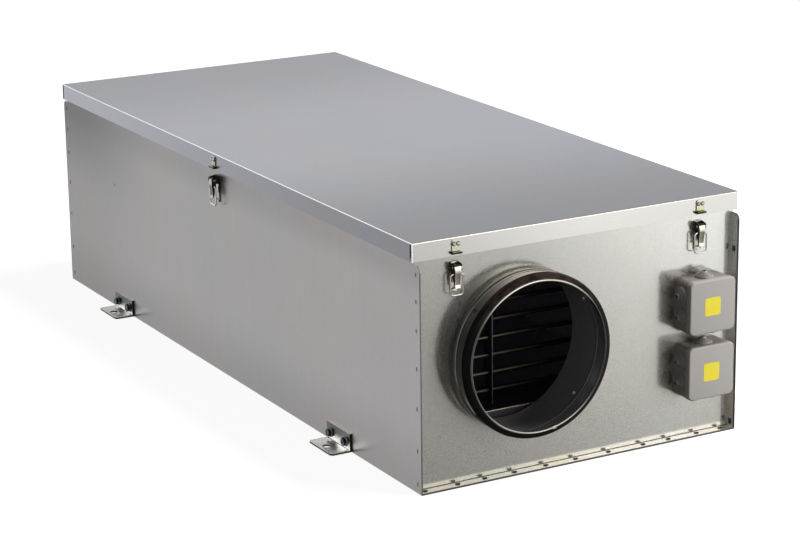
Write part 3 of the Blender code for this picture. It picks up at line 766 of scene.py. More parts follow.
def form_of(node, bevel, smooth=35.0, place=Matrix()):
    """A clean copy of a CAD node, in the coordinates of a place."""
    piece = new_object(node + "_form", frame["nodes"][node].data.copy())
    piece.data.transform(place.inverted())
    clean_form(piece, bevel, smooth)
    return piece


def arc(centre, radii, start, end, steps):
    """Points along an arc of a circle or an ellipse, from one angle to another in degrees."""
    angles = [math.radians(start + (end - start) * index / steps) for index in range(steps + 1)]
    return [(centre[0] + radii[0] * math.cos(a), centre[1] + radii[1] * math.sin(a)) for a in angles]


def closed(points):
    return points + points[:1]


def spigot_outline():
    """(radius, outward) round the section: outside, bead, gasket groove, rolled rim, inside."""
    groove = inner_radius - GROOVE_DEPTH
    roll = (spigot_radius - RIM_INSET - RIM_ROLL, spigot_reach - RIM_ROLL)
    return closed([
        (spigot_radius, spigot_tail),
        *arc((spigot_radius, BEAD_CENTRE), (BEAD_HEIGHT, BEAD_HALF_WIDTH), -90, 90, 8),
        (spigot_radius, taper_start - GASKET_WIDTH),
        (spigot_radius, taper_start),
        *arc(roll, (RIM_ROLL, RIM_ROLL), 0, 270, 18),
        (groove, taper_start - SPIGOT_WALL),
        (groove, taper_start - GASKET_WIDTH),
        (inner_radius, taper_start - GASKET_WIDTH - GROOVE_DEPTH),
        *arc((inner_radius, BEAD_CENTRE), (GROOVE_DEPTH, BEAD_HALF_WIDTH), 90, -90, 6),
        (inner_radius, spigot_tail),
    ])


def gasket_outline():
    """(radius, outward) of the rubber ring: a band with two lips that lean back."""
    seat = spigot_radius + SEAM
    band = seat + GASKET_BAND
    back = taper_start - GASKET_WIDTH
    pitch = GASKET_WIDTH / GASKET_LIPS
    lip = ((0.0, 0.12), (0.7, 0.30), (1.0, 0.45), (0.8, 0.62), (0.0, 0.92))
    points = [(seat, back), (band, back)]
    for index in range(GASKET_LIPS):
        points += [(band + out * GASKET_LIP, back + (index + along) * pitch) for out, along in lip]
    return closed(points + [(band, taper_start), (seat, taper_start)])


def shoulder_outline():
    """(radius, outward) of the rubber that covers the shoulder from the band to the roll."""
    seat = spigot_radius + SEAM
    roll, roll_out = spigot_radius - RIM_INSET, spigot_reach - RIM_ROLL
    return closed([
        (seat, taper_start - 0.0002),
        (seat + GASKET_BAND, taper_start - 0.0002),
        (seat + GASKET_BAND - 0.0002, taper_start + 0.0005),
        (spigot_radius - 0.0008, taper_start + 0.0011),
        (roll + 0.0009, roll_out + 0.0008),
        (roll + 0.0003, roll_out + 0.0004),
        (roll + 0.0001, roll_out + 0.0001),
        (spigot_radius - 0.0001, taper_start + 0.0001),
    ])


def seam_outline():
    """(radius, outward) of the flat strip along the tube's welded seam."""
    top = spigot_radius + STRIP_THICKNESS
    front = taper_start - GASKET_WIDTH - SEAM
    return closed([(spigot_radius, BEAD_END), (top, BEAD_END), (top, front), (spigot_radius, front)])


def clip_outline():
    """(radius, outward) of the clip bent over the rolled rim."""
    outer = spigot_radius - RIM_INSET
    inner = outer - 2 * RIM_ROLL
    profile = (
        (outer + 0.0002, 0.0065),
        (outer + 0.0009, 0.0065),
        (outer + 0.0006, 0.0004),
        (inner - 0.0004, 0.0004),
        (inner - 0.0004, 0.0050),
        (inner + 0.0002, 0.0050),
    )
    return closed([(radius, spigot_reach - back) for radius, back in profile])


def on_end(end, outline):
    """Points of a ring's outline, in the level plane through the spigot's axis."""
    return [(spigot_x + radius, end * (end_face + out), spigot_z) for radius, out in outline]


def spigot_place(end, angle_deg, radius, out, sign):
    """A place on the tube that faces away from its axis, or towards it."""
    angle = math.radians(angle_deg)
    away = Vector((math.cos(angle), 0, math.sin(angle)))
    point = Vector((spigot_x, end * (end_face + out), spigot_z)) + radius * away
    return facing(point, sign * away)


def sector(outline, centre, start_deg, width_deg):
    """Part of a ring: an outline spun through a few degrees, capped and turned to its place."""
    piece = spun(outline, centre, (0, -1, 0), 8, width_deg)
    set_mode("EDIT")
    bpy.ops.mesh.select_mode(type="EDGE")
    bpy.ops.mesh.select_all(action="DESELECT")
    bpy.ops.mesh.select_non_manifold()
    bpy.ops.mesh.edge_face_add()
    bpy.ops.mesh.select_all(action="SELECT")
    bpy.ops.mesh.normals_make_consistent(inside=False)
    set_mode("OBJECT")
    to_centre = Matrix.Translation(centre)
    piece.data.transform(to_centre @ turn(-start_deg, "Y") @ to_centre.inverted())
    return piece


def make_spigots(rivet):
    rings = (
        (spigot_outline(), "spigot_tube", "spigot", "spigot_steel", "_spigot"),
        (gasket_outline(), "gasket_ring", "rubber", "rubber", "_spigot_gasket"),
        (shoulder_outline(), "gasket_shoulder", "rubber", "rubber", None),
    )
    rivets = (
        # The outer rivets take the near-black finish: painted shade.
        (RIVET_ANGLES, (spigot_radius, RIVET_OUT, 1), "spigot_rivets", "recess"),
        (INNER_RIVET_ANGLES, (inner_radius, INNER_RIVET_OUT, -1), "spigot_inner_rivets", "rivet"),
    )
    sectors = (
        (seam_outline(), (-80.0, 4.0), "spigot_seam", "spigot", "spigot_steel"),
        (clip_outline(), (-75.5, 3.0), "rim_clip", "plated", "latch_steel"),
    )
    for name, end in ENDS:
        centre = (spigot_x, end * end_face, spigot_z)
        for outline, suffix, finish, slot, node in rings:
            ring = spun(on_end(end, outline), centre, (0, 1, 0), SPIGOT_STEPS)
            dress(ring, f"{name}_{suffix}", finish, 50, [name + node] if node else ())
        for angles, seat, suffix, finish in rivets:
            heads = copies(rivet, [spigot_place(end, angle, *seat) for angle in angles])
            dress(heads, f"{name}_{suffix}", finish, 40)
        for outline, span, suffix, finish, slot in sectors:
            strip = sector(on_end(end, outline), centre, *span)
            dress(strip, f"{name}_{suffix}", finish, 30)


def button_profile(radius, height, skirt, shape):
    """(radius, height) pairs of a head: a skirt below the seat, then shares of radius and height."""
    return [(0, -skirt), (radius, -skirt)] + [(r * radius, h * height) for r, h in shape]


def rivet_master():
    """A blind rivet's head with the hollow of its broken stem."""
    shape = (
        (1.0, 0.25), (0.88, 0.62), (0.62, 0.92), (0.42, 1.0), (0.34, 0.9), (0.30, 0.35), (0.0, 0.30),
    )
    return turned_button(button_profile(RIVET_RADIUS, RIVET_HEIGHT, 2 * SKIRT, shape), 20)


def bolt_master():
    """A hexagon flange bolt's head, pointing along +Z from its seat."""
    profile = [
        (0, -SKIRT),
        (BOLT_FLANGE_RADIUS, -SKIRT),
        (BOLT_FLANGE_RADIUS, 0.0010),
        (0.92 * BOLT_FLANGE_RADIUS, BOLT_WASHER),
        (0.80 * BOLT_HEAD_RADIUS, 0.0024),
        (0, 0.0024),
    ]
    flange = turned_button(profile, 32)
    top = BOLT_HEIGHT - MERGE
    middle = (0, 0, (BOLT_HEIGHT + BOLT_WASHER) / 2)
    head = cylinder(6, BOLT_HEAD_RADIUS, BOLT_HEIGHT - BOLT_WASHER, middle)
    round_off(head, "FACE", lambda middle, normal: middle.z > top, 0.0008, 3)
    is_top = lambda middle, normal: middle.z > top and normal.z > 0.99
    sink(head, is_top, (0.0016, 0.0004), (0, 0, -0.0005))
    return join([flange, head])


def screw_master():
    """A pan-head screw with a cross recess."""
    shape = ((1.0, 0.35), (0.93, 0.62), (0.75, 0.86), (0.5, 0.97), (0.0, 1.0))
    head = turned_button(button_profile(SCREW_RADIUS, SCREW_HEIGHT, SKIRT, shape), 24)
    arm, half = 0.62 * SCREW_RADIUS, 0.16 * SCREW_RADIUS
    for x, y in ((arm, half), (half, arm)):
        carve(head, block((-x, -y, 0.4 * SCREW_HEIGHT), (x, y, 2 * SCREW_HEIGHT)))
    return head


def pressed_mark_master():
    """A lanced clinch: a raised oval lip round a sunk slot in painted shade."""
    mark = cylinder(28, 1.0, 0.0006, (0, 0, 0.0001), (*SIDE_MARK_RADII, 1.0))
    round_off(mark, "FACE", lambda middle, normal: normal.z > 0.9, 0.0002, 2)
    is_top = lambda middle, normal: normal.z > 0.99 and middle.z > 0.00035
    sink(mark, is_top, (0.0003, 0.0001), (0, 0, -0.0003))
    is_sunk = lambda middle, normal: int(abs(normal.z) > 0.99 and 0.0 < middle.z < 0.00025)
    # The sunk slot is painted near-black: painted shade.
    paint_faces(mark, ("side", "recess"), is_sunk)
    return mark


def dome_master():
    """A pressed dome on a flange, cut level with the sheet, with painted shade on its slopes that face along
    Y.
    """
    deselect_all()
    bpy.ops.mesh.primitive_uv_sphere_add(segments=24, ring_count=12, radius=1.0, scale=DOME_RADII)
    dome = placed()
    set_mode("EDIT")
    bpy.ops.mesh.select_all(action="SELECT")
    bpy.ops.mesh.bisect(plane_co=(0, 0, -0.0001), plane_no=(0, 0, 1), clear_inner=True, use_fill=True)
    set_mode("OBJECT")
    # Painted shade on the slopes that face along Y.
    paint_faces(dome, ("galvanised", "recess"), lambda middle, normal: int(abs(normal.y) > 0.4))
    return dome


def make_side_marks():
    """Clinches on the side sheets near both ends."""
    master = pressed_mark_master()
    reach = flange_tip - SIDE_MARK_SETBACK
    for (name, side), face in zip(SIDES, (left_face, right_face)):
        spots = [(face, end * reach, height) for end in (-1, 1) for height in SIDE_MARK_HEIGHTS]
        marks = copies(master, [facing(spot, (side, 0, 0)) for spot in spots])
        dress(marks, name + "_seam_marks", None, 40)
    discard(master)


def make_flange_marks():
    """Domes on the flanges of both ends, the upright ones near-black for painted shade, the lines of their
    folds bright for a painted highlight, and painted shadow in the bend along the floor flange.
    """
    dome = dome_master()
    heights = [FLANGE_MARK_LOWEST + index * FLANGE_MARK_STEP for index in range(FLANGE_MARK_COUNT)]
    for name, end in ENDS:
        upright = []
        for edge, side in SIDES:
            face = side * inner_face
            for height in heights:
                if height < side_top - FLANGE_MARK_HEADROOM:
                    place = facing((face, end * (end_face + FLANGE_MARK_REACH), height), (-side, 0, 0))
                    upright.append(place @ turn(90, "Z"))
            corner = (face + side * 0.0001, end * (end_face + 0.0046), 0.006)
            fold = block(corner, (face - side * 0.0004, end * (end_face + 0.0053), lid_low.z - 0.006))
            round_off(fold, "EDGE", lambda a, b: abs(a.z - b.z) > MERGE, 0.0002, 2)
            # The fold line is a painted highlight.
            dress(fold, f"{name}_{edge}_fold_line", "plated")
        # Painted shade: the upright domes are near-black.
        dress(copies(dome, upright), name + "_flange_studs", "cut", 40)
        out = end * (end_face + FLOOR_MARK_REACH)
        domes = copies(dome, [Matrix.Translation((x, out, lip_top)) for x in FLOOR_MARKS])
        dress(domes, name + "_flange_domes", None, 40)
        corner = (-inner_face, end * (end_face - 0.0002), lip_top - 0.0002)
        bend = block(corner, (inner_face, end * (end_face + 0.0009), lip_top + 0.0005))
        is_ridge = lambda a, b: abs(a.x - b.x) > MERGE and min(a.z, b.z) > lip_top
        round_off(bend, "EDGE", is_ridge, 0.0002, 2)
        # Painted shadow in the bend.
        dress(bend, name + "_flange_bend", "recess")
    discard(dome)


def foot_face(middle, normal):
    """A painted highlight on the top edge, and painted shade on the other cut edges and in the hole."""
    if normal.z > 0.9 and middle.z > 0.028:
        return 2
    return int(abs(normal.y) > 0.5 or (abs(normal.z) < 0.5 and middle.z < 0.0032))


def make_foot(name, side, bolt):
    node = name + "_foot"
    low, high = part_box(node)
    middle = (low.y + high.y) / 2
    inner = low.x if side > 0 else high.x
    face = inner + side * FOOT_SHEET
    foot = form_of(node, 0.0)
    carve(foot, cylinder(40, FOOT_HOLE_RADIUS, 0.02, (inner + side * FOOT_HOLE_REACH, middle, 0.0)))
    clean_form(foot, 0.0004, 35.0)
    # Painted highlight on the top edge, painted shade on the cut edges and in the hole.
    paint_faces(foot, ("foot", "cut", "plated"), foot_face)
    dress(foot, node + "_form", None, None, [node])

    corner = (face - side * 0.0002, low.y + 0.003, 0.0028)
    bend = block(corner, (face + side * 0.0007, high.y - 0.003, 0.0034))
    is_ridge = lambda a, b: abs(a.y - b.y) > MERGE and min(a.z, b.z) > FOOT_SHEET
    round_off(bend, "EDGE", is_ridge, 0.0002, 2)
    # Painted shade in the bend between leg and upright.
    dress(bend, node + "_bend", "cut")

    places = []
    for hand, degrees in zip((-1, 1), BOLT_TURNS):
        seat = facing((face, middle + hand * BOLT_SPREAD, BOLT_LEVEL), (side, 0, 0))
        places.append(seat @ turn(degrees, "Z"))
    dress(copies(bolt, places), node + "_bolts", "bolt", 30)


def latch_places():
    """The pivot of each latch and its turn about +Z. Its own -Y points away from the casing."""
    turns = {"front": 0.0, "rear": 180.0, "left_side": -90.0, "right_side": 90.0}
    suffix = "_lever_swing"
    places = {}
    for joint in frame["joints"]:
        if joint["name"].endswith(suffix):
            name = joint["name"][: -len(suffix)]
            degrees = next(turns[key] for key in turns if name.startswith(key))
            places[name] = Matrix.Translation(joint["pos_m"]) @ turn(degrees, "Z")
    return places


def bail_wire(node):
    """The bent wire of the bail, as a round tube along its centre line."""
    low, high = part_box(node)
    side = max(high.x - low.x, high.y - low.y) / 2 - BAIL_WIRE + BAIL_EASE - BAIL_CORNER
    bottom = -(high.z - low.z - 2 * BAIL_WIRE)
    corner = (BAIL_CORNER, BAIL_CORNER)
    points = [(BAIL_GAP, 0.0)]
    points += arc((side, -BAIL_CORNER), corner, 90, 0, 8)
    points += arc((side, bottom + BAIL_CORNER), corner, 0, -90, 8)
    points += [(-x, z) for x, z in reversed(points)]
    curve = bpy.data.curves.new("bail", "CURVE")
    curve.dimensions = "3D"
    spline = curve.splines.new("POLY")
    spline.points.add(len(points) - 1)
    for point, (x, z) in zip(spline.points, points):
        point.co = (x, 0, z, 1)
    curve.bevel_depth = BAIL_WIRE
    curve.bevel_resolution = 4
    curve.use_fill_caps = True
    use_only(new_object("bail", curve))
    bpy.ops.object.convert(target="MESH")
    return bpy.context.object


def lever_master(place):
    """The pressed lever with its sunk web between two edges, in lit and shaded copies of its steel: a
    painted highlight on the flat above the web, and painted shade on the low web, the sides and the top cap.
    """
    lever = form_of("front_left_latch_lever", 0.0, place=place)
    front = min(vertex.co.y for vertex in lever.data.vertices if vertex.co.z > -0.02)

    def is_web(middle, normal):
        return normal.y < -0.98 and abs(middle.y - front) < 0.0002

    select_parts(lever, "FACE", is_web)
    bpy.ops.mesh.bisect(plane_co=(0, 0, -LEVER_WEB_TOP), plane_no=(0, 0, 1))
    set_mode("OBJECT")
    is_low_web = lambda middle, normal: is_web(middle, normal) and middle.z < -0.01
    sink(lever, is_low_web, (0.0012, 0.0003), (0, LEVER_SINK, 0))

    # Lit and shaded copies of one steel by face: 1 painted shade on the low web, 2 and 3 near-black painted
    # shade on the top cap and the sides, 4 darker steel on the rails, 0 bright plated steel, a painted
    # highlight on the flat above the web.
    def lever_face(middle, normal):
        is_sunk = normal.y < -0.9 and abs(middle.y - front - LEVER_SINK) < 0.0002
        if is_sunk and middle.z < -LEVER_BEND:
            return 1
        if normal.z > 0.35 and middle.z > 0.0012:
            return 2
        if abs(normal.x) > 0.8:
            return 3
        return 4 if normal.y < -0.5 and -LEVER_RAIL_END < middle.z < -LEVER_WEB_TOP else 0

    paint_faces(lever, ("plated", "dull", "recess", "hook", "lever"), lever_face)
    for vertex in lever.data.vertices:
        if vertex.co.z < -LEVER_BEND:
            vertex.co.y -= LEVER_LEAN * (vertex.co.z + LEVER_BEND)
    apply_modifier(lever, "BEVEL", width=0.00025, segments=2, limit_method="ANGLE")
    return lever


def base_master(place):
    """The base plate with its ears, a near-black block for the painted shade of a slot, and a turned-out
    foot below the lever, with painted shade on its sides and upward faces.
    """
    base = form_of("front_left_latch_base", 0.0002, place=place)
    plate = max(vertex.co.y for vertex in base.data.vertices) - BASE_PLATE
    low = min(vertex.co.z for vertex in base.data.vertices)
    # Painted shade: near-black on the sides and the upward faces.
    sides = lambda middle, normal: 2 if abs(normal.x) > 0.8 else int(normal.z > 0.35)
    paint_faces(base, ("plated", "recess", "hook"), sides)
    foot = block((-0.0056, plate - 0.0016, low + 0.0002), (0.0056, plate + 0.0003, low + 0.0026))
    round_off(foot, "EDGE", lambda a, b: abs(a.z - b.z) > MERGE, 0.0006, 3)
    foot.data.materials.append(finishes["plated"])
    # A near-black block that paints the shade of a slot.
    slot = block((-0.0050, plate - 0.0001, low + 0.0034), (0.0050, plate + 0.0003, low + 0.0052))
    round_off(slot, "EDGE", lambda a, b: abs(a.y - b.y) > MERGE, 0.0009, 4)
    slot.data.materials.append(finishes["recess"])
    return join([base, foot, slot])


def keeper_master(place):
    """The keeper: a plate with a yellow band below its screws, and a hook in near-black painted shade."""
    keeper = form_of("front_left_keeper", 0.0, place=place)
    use_only(keeper)
    set_mode("EDIT")
    for level in (KEEPER_BEND, KEEPER_BAND):
        bpy.ops.mesh.select_all(action="SELECT")
        bpy.ops.mesh.bisect(plane_co=(0, 0, level), plane_no=(0, 0, 1))
    set_mode("OBJECT")
    # The hook below the bend is near-black: painted shade.
    level_face = lambda middle, normal: int(middle.z < KEEPER_BAND) + int(middle.z <= KEEPER_BEND)
    paint_faces(keeper, ("plated", "yellow_zinc", "hook"), level_face)
    return keeper


def keeper_plate_front(keeper):
    """How far out the keeper's plate stands, measured above its hook."""
    heights = [vertex.co.z for vertex in keeper.data.vertices]
    middle = (min(heights) + max(heights)) / 2
    return min(vertex.co.y for vertex in keeper.data.vertices if vertex.co.z > middle)


def keeper_screw_master(screw):
    """A screw head in a ring of painted shade."""
    radius = KEEPER_RING_RADIUS
    profile = [(0, -SKIRT), (radius, -SKIRT), (radius, 0.00035), (0.0031, 0.0005), (0, 0.0005)]
    ring = turned_button(profile, 24)
    # The ring is painted shade round the head.
    ring.data.materials.append(finishes["recess"])
    head = copies(screw, [Matrix.Diagonal((*KEEPER_HEAD_SCALE, 1.0))])
    head.data.materials.append(finishes["rivet"])
    return join([ring, head])


def make_latches(screw):
    places = latch_places()
    first = places["front_left"]
    lever, base, keeper = lever_master(first), base_master(first), keeper_master(first)
    keeper_front = keeper_plate_front(keeper)
    ringed = keeper_screw_master(screw)
    bail = bail_wire("front_left_latch_bail")
    profile = [(0, -SKIRT), (PIN_RADIUS, -SKIRT), (0.0018, 0.0005), (0.0012, 0.0009), (0, 0.0010)]
    pin = turned_button(profile, 16)
    drop = Matrix.Translation((0, 0, -BAIL_DROP))
    screw_places = []
    for x, angle in KEEPER_SCREWS:
        seat = Matrix.Translation((x, keeper_front, KEEPER_SCREW_LEVEL)) @ turn(90, "X")
        screw_places.append(seat @ Matrix.Rotation(angle, 4, "Z"))
    pin_places = [Matrix.Translation((hand * PIN_REACH, 0, 0)) @ turn(hand * 90, "Y") for hand in (-1, 1)]
    for name, place in places.items():
        lever_body, bail_body = name + "_lever", name + "_bail"
        for master, spots, suffix, finish, slot, smooth, node, body in (
            (base, [Matrix()], "_latch_base_form", None, "latch_steel", 35, "_latch_base", "casing"),
            (lever, [Matrix()], "_latch_lever_form", None, "latch_steel", 35, "_latch_lever", lever_body),
            (keeper, [Matrix()], "_keeper_form", None, "yellow_zinc", 35, "_keeper", "lid"),
            (bail, [drop], "_bail_wire", "wire", "bright_wire", 60, "_latch_bail", bail_body),
            (ringed, screw_places, "_keeper_screws", None, "yellow_zinc", 35, None, "lid"),
            (pin, pin_places, "_latch_pin_heads", "plated", "latch_steel", 40, None, "casing"),
        ):
            form = copies(master, [place @ spot for spot in spots])
            dress(form, name + suffix, finish, smooth, [name + node] if node else (), body)
    discard(lever, base, keeper, ringed, bail, pin)


def rounded_block(low, high, corner, edge, steps):
    """A box with round corners seen along Y, and its -Y rim eased."""
    piece = block(low, high)
    round_off(piece, "EDGE", lambda a, b: abs(a.y - b.y) > MERGE, corner, steps)
    if edge:
        round_off(piece, "FACE", front_at(low[1]), edge, 5)
    return piece


def grommet_master():
    """A stepped membrane cone about +Z: five fine steps, grooves between them and a nipple, with painted
    shade in the grooves and the nipple's hollow and a painted highlight on the rings' edges.
    """
    radius, rise = GROMMET_RADIUS, 0.0
    profile = [(0, -0.001), (radius, -0.001)]
    for step, fall in zip(GROMMET_RISES, GROMMET_FALLS):
        profile += [(radius, rise + 0.8 * step), (radius - 0.2 * fall, rise + step)]
        rise += step
        profile.append((radius - 0.72 * fall, rise + 0.0001))
        radius -= fall
        profile.append((radius, rise - 0.0005))
    nipple = radius - 0.0006
    profile += [(nipple, rise + 0.0014), (nipple - 0.0010, rise + 0.0017)]
    profile += [(nipple - 0.0022, rise + 0.0004), (0, rise + 0.0002)]
    grommet = turned_button(profile, 40)

    # Painted shade on the inward slopes and in the nipple's hollow, painted highlight on the outward slopes.
    def grommet_face(middle, normal):
        outward = normal.x * middle.x + normal.y * middle.y
        slanted = 0.15 < abs(normal.z) < 0.93
        if math.hypot(middle.x, middle.y) < nipple - 0.0010 or (slanted and outward < 0):
            return 1
        return 2 if slanted else 0

    paint_faces(grommet, ("box", "groove", "ring"), grommet_face)
    return grommet


def make_junction_box(name, grommet):
    node = name + "_junction_box"
    cover_low, cover_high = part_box(node + "_cover")
    low = Vector((cover_low.x, cover_high.y + SEAM, cover_low.z))
    high = Vector((cover_high.x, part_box(node)[1].y, cover_high.z))
    ledge = Vector((BOX_LEDGE, 0, BOX_LEDGE))
    shell = rounded_block(low + ledge, high - ledge, BOX_CORNER, 0.0, 10)
    select_parts(shell, "FACE", front_at(low.y))
    bpy.ops.mesh.inset(thickness=BOX_WALL)
    hollow = (0, high.y - low.y - BOX_FLOOR, 0)
    bpy.ops.mesh.extrude_region_move(TRANSFORM_OT_translate={"value": hollow})
    set_mode("OBJECT")

    middle = (low + high) / 2
    half = (high.x - low.x) / 2 - BOX_LEDGE
    spread = (-ENTRY_SPREAD, ENTRY_SPREAD)
    entries = [(hand, 0, shift) for hand in (-1, 1) for shift in spread]
    entries += [(0, 1, 0.0), *((0, -1, shift) for shift in spread)]
    places = []
    for x, z, shift in entries:
        across, up = x * half + abs(z) * shift, z * half + abs(x) * shift
        point = (middle.x + across, high.y - ENTRY_DEPTH, middle.z + up)
        places.append(facing(point, (x, 0, z)))
    dress(copies(grommet, places), name + "_box_entries", None, 38)
    dress(shell, name + "_box_shell", "box", 35, [node])

    cover = rounded_block(cover_low, cover_high, COVER_CORNER, COVER_EDGE, 12)
    dress(cover, name + "_box_lid", "cover", 35, [node + "_cover"])

    centre = (cover_low + cover_high) / 2
    label_low = (centre.x - LABEL_HALF, cover_low.y - LABEL_THICKNESS, centre.z - LABEL_HALF)
    label_high = (centre.x + LABEL_HALF, cover_low.y - 0.00002, centre.z + LABEL_HALF)
    label = rounded_block(label_low, label_high, LABEL_CORNER, 0.0, 6)
    dress(label, name + "_box_label", "label", 35)


def make_heater():
    """The frame, the folded edge of its base bright with a painted highlight, and its elements."""
    dress(form_of("heater_frame", 0.0), "heater_frame_form", "heater", None, ["heater_frame"])
    low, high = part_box("heater_frame")
    corner = (low.x + 0.002, low.y - 0.0003, HEATER_BASE - 0.0016)
    edge = block(corner, (high.x - 0.002, low.y + 0.0006, HEATER_BASE + 0.0001))
    is_front = lambda a, b: abs(a.x - b.x) > MERGE and max(a.y, b.y) < low.y
    round_off(edge, "EDGE", is_front, 0.0003, 3)
    # The bright edge is a painted highlight.
    dress(edge, "heater_frame_edge", "plated", 50)
    for node in ("heater_lower_element", "heater_upper_element"):
        dress(form_of(node, 0.0, 50.0), node + "_form", "element", None, [node])


def paint_nodes():
    """Better finishes on the solids that stay."""
    for finish, nodes in (
        ("side", ("bottom_panel", "left_side_panel", "right_side_panel")),
        ("galvanised", ("front_end_panel", "rear_end_panel")),
        ("lid", ("lid",)),
    ):
        for node in nodes:
            mesh = frame["nodes"][node].data
            mesh.materials.clear()
            mesh.materials.append(finishes[finish])


def make_camera():
    data = bpy.data.cameras.new("camera")
    data.lens = CAMERA_LENS
    data.sensor_width = CAMERA_SENSOR
    data.clip_end = 100.0
    camera = new_object("camera", data)
    aim = turn(-CAMERA_AZIMUTH, "Z") @ turn(90 - CAMERA_DIP, "X") @ turn(CAMERA_ROLL, "Z")
    camera.matrix_world = Matrix.Translation(CAMERA_PLACE) @ aim
    bpy.context.scene.camera = camera


def make_lamp(name, place, target, size, power):
    """A soft lamp that reflections leave out: they see the surroundings alone."""
    data = bpy.data.lights.new(name, "AREA")
    data.shape = "RECTANGLE"
    data.size, data.size_y = size
    data.energy = power
    lamp = new_object(name, data)
    lamp.location = place
    lamp.rotation_euler = (Vector(target) - Vector(place)).to_track_quat("-Z", "Y").to_euler()
    lamp.visible_glossy = False


def make_world(ambient):
    """Studio surroundings: white to the camera. Reflections see a window at the front right."""
    world = bpy.data.worlds.new("studio")
    bpy.context.scene.world = world
    world.use_nodes = True
    sky = Shader(world.node_tree, "Generated")
    across, along, up = sky.axes()
    rise = up + 0.6 * across
    behind = sky.step(along, -0.45, 0.45)
    window = sky.step(across, 0.50, 0.68, 2.3, 0.75) * sky.step(up, 0.40, 0.65, 1.0, 0.4)
    front = 0.36 + sky.step(rise, -0.10, 0.0, 0.0, 0.12) + sky.step(rise, 0.0, 0.15) * window
    dark = sky.step(up, -0.25, 0.0, 0.24, 0.08) + sky.step(up, 0.1, 0.35, 0.0, 0.25)
    front = dark + (front - dark) * sky.step(across, -0.3, 0.38)
    front = front + sky.step(up, -0.53, -0.42, 1.0, 0.0) * sky.step(across, -0.15, 0.1)
    front = front + (0.75 - front) * sky.step(across, -0.78, -0.58, 1.0, 0.0)
    back = 0.78 + 1.1 * sky.step(across, -0.4, 0.0, 1.0, 0.0) * sky.step(up, 0.0, 0.3)
    under = sky.step(up, -0.8, -0.45, 0.12, 1.0)
    over = sky.step(up, 0.5, 0.8, 1.0, 0.3)
    reflected = (front + (back - front) * behind) * under * over
    warm = sky.blend(sky.step(rise, -0.06, 0.03), (1.0, 0.965, 0.88), (1.0, 1.0, 0.985))
    warm = sky.blend(sky.step(up, 0.0, 0.25), warm, (1.0, 0.94, 0.82))
    tint = sky.blend(behind, warm, (0.975, 0.98, 1.0))
    camera = sky.seen_by("Is Camera Ray", "Is Transmission Ray")
    bounced = sky.number("ShaderNodeLightPath", None, None, "Diffuse Depth")
    glossy = sky.seen_by("Is Glossy Ray") * (1.0 - bounced.maths("MINIMUM", bounced, 1.0))
    strength = camera + (1.0 - camera) * (glossy * reflected + (1.0 - glossy) * ambient)
    background = world.node_tree.nodes["Background"]
    sky.feed(background.inputs["Color"], sky.blend(glossy, (1.0, 1.0, 1.0), tint))
    sky.feed(background.inputs["Strength"], strength)


def make_floor():
    """A pale floor that keeps a light shadow and throws little light back."""
    deselect_all()
    bpy.ops.mesh.primitive_plane_add(size=30.0, location=(0, 0, -0.0005))
    floor = bpy.context.object
    floor.name = "studio_floor"
    floor.visible_glossy = False
    finish = Finish("studio floor", (0.5, 0.5, 0.5), 0.9)
    camera = finish.seen_by("Is Camera Ray")
    far = finish.step(finish.distance((0, 0, 0)), 1.0, 2.4)
    glow = finish.blend(far, (0.92, 0.92, 0.92), (1.0, 1.0, 1.0))
    material = finish.set(
        Base_Color=finish.blend(camera, (0.06, 0.06, 0.06), (0.5, 0.5, 0.5)),
        Emission_Color=finish.blend(camera, (0.0, 0.0, 0.0), glow),
        Emission_Strength=1.0,
        Specular_IOR_Level=0.0,
    )
    floor.data.materials.append(material)


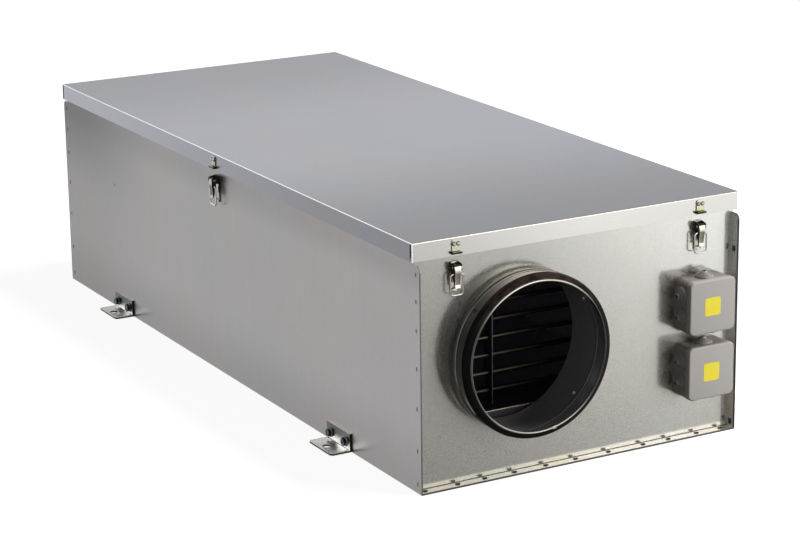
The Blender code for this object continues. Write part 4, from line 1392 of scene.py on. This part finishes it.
def make_finishes():
    finishes.update(
        side=side_sheet_finish(),
        galvanised=galvanised_finish(),
        lid=lid_finish(),
        foot=foot_finish(),
        spigot=spigot_finish(),
        rubber=rubber_finish(),
        plated=plated_finish("bright plated steel", (0.62, 0.60, 0.56), (0.66, 0.62, 0.50), 0.22),
        wire=plated_finish("bright wire", (0.76, 0.76, 0.75), (0.62, 0.62, 0.60), 0.15),
        yellow_zinc=plated_finish("yellow zinc", (0.60, 0.58, 0.48), (0.52, 0.53, 0.26), 0.26),
        # Near-black steel for painted shade on the keepers' hooks and the sides of the levers and bases.
        hook=plated_finish("dark hook steel", (0.035, 0.034, 0.033), (0.07, 0.067, 0.062), 0.32),
        rivet=plated_finish("bright rivet", (0.85, 0.84, 0.80), (0.75, 0.74, 0.70), 0.45),
        bolt=plated_finish("blackened bolt", (0.028, 0.032, 0.040), (0.13, 0.15, 0.18), 0.20),
        # Near-black steel for painted shade on the feet's cut edges and bends, and on the upright flange
        # domes.
        cut=plated_finish("dark cut edge", (0.05, 0.047, 0.045), (0.09, 0.085, 0.08), 0.40),
        box=plastic_finish("box plastic", (0.33, 0.305, 0.285), 0.48),
        # Painted shade in the grooves and hollows of the entries.
        groove=plastic_finish("box plastic in the grooves", (0.09, 0.085, 0.08), 0.55),
        cover=plastic_finish("cover plastic", (0.47, 0.445, 0.42), 0.45),
        # Painted highlight on the ring edges of the entries.
        ring=plastic_finish("box plastic on the ring edges", (0.60, 0.565, 0.53), 0.45),
        lever=plated_finish("lever steel", (0.42, 0.405, 0.365), (0.50, 0.48, 0.41), 0.24),
        # Duller, and darker for painted shade in the levers' sunk webs.
        dull=plated_finish("dull plated web", (0.27, 0.26, 0.22), (0.22, 0.21, 0.17), 0.34),
        label=label_finish(),
        heater=zinc_sheet("heater steel", HEATER_COLOUR, 0.45, 0.9, 0.08, (60, 60, 9), 0.1, 0.0002).material,
        element=element_finish(),
        recess=recess_finish(),
    )


def main():
    bpy.context.scene.view_settings.view_transform = "Standard"
    make_finishes()
    paint_nodes()
    rivet, bolt, screw = rivet_master(), bolt_master(), screw_master()
    make_spigots(rivet)
    for end_name, _ in ENDS:
        for side_name, side in SIDES:
            make_foot(f"{end_name}_{side_name}", side, bolt)
    make_latches(screw)
    grommet = grommet_master()
    for name in ("upper", "lower"):
        make_junction_box(name, grommet)
    make_side_marks()
    make_flange_marks()
    make_heater()
    discard(rivet, bolt, screw, grommet)
    make_camera()
    make_world(0.045)
    make_floor()
    make_lamp("key light", (1.88, -2.42, 0.55), (0.0, -0.66, 0.19), (1.6, 1.2), 62.0)
    make_lamp("top light", (1.3, -0.7, 2.9), (0.2, -0.6, 0.2), (1.6, 1.6), 70.0)
    make_lamp("fill light", (-2.6, -3.4, 1.3), (0.0, -0.66, 0.19), (1.6, 1.6), 12.0)


main()
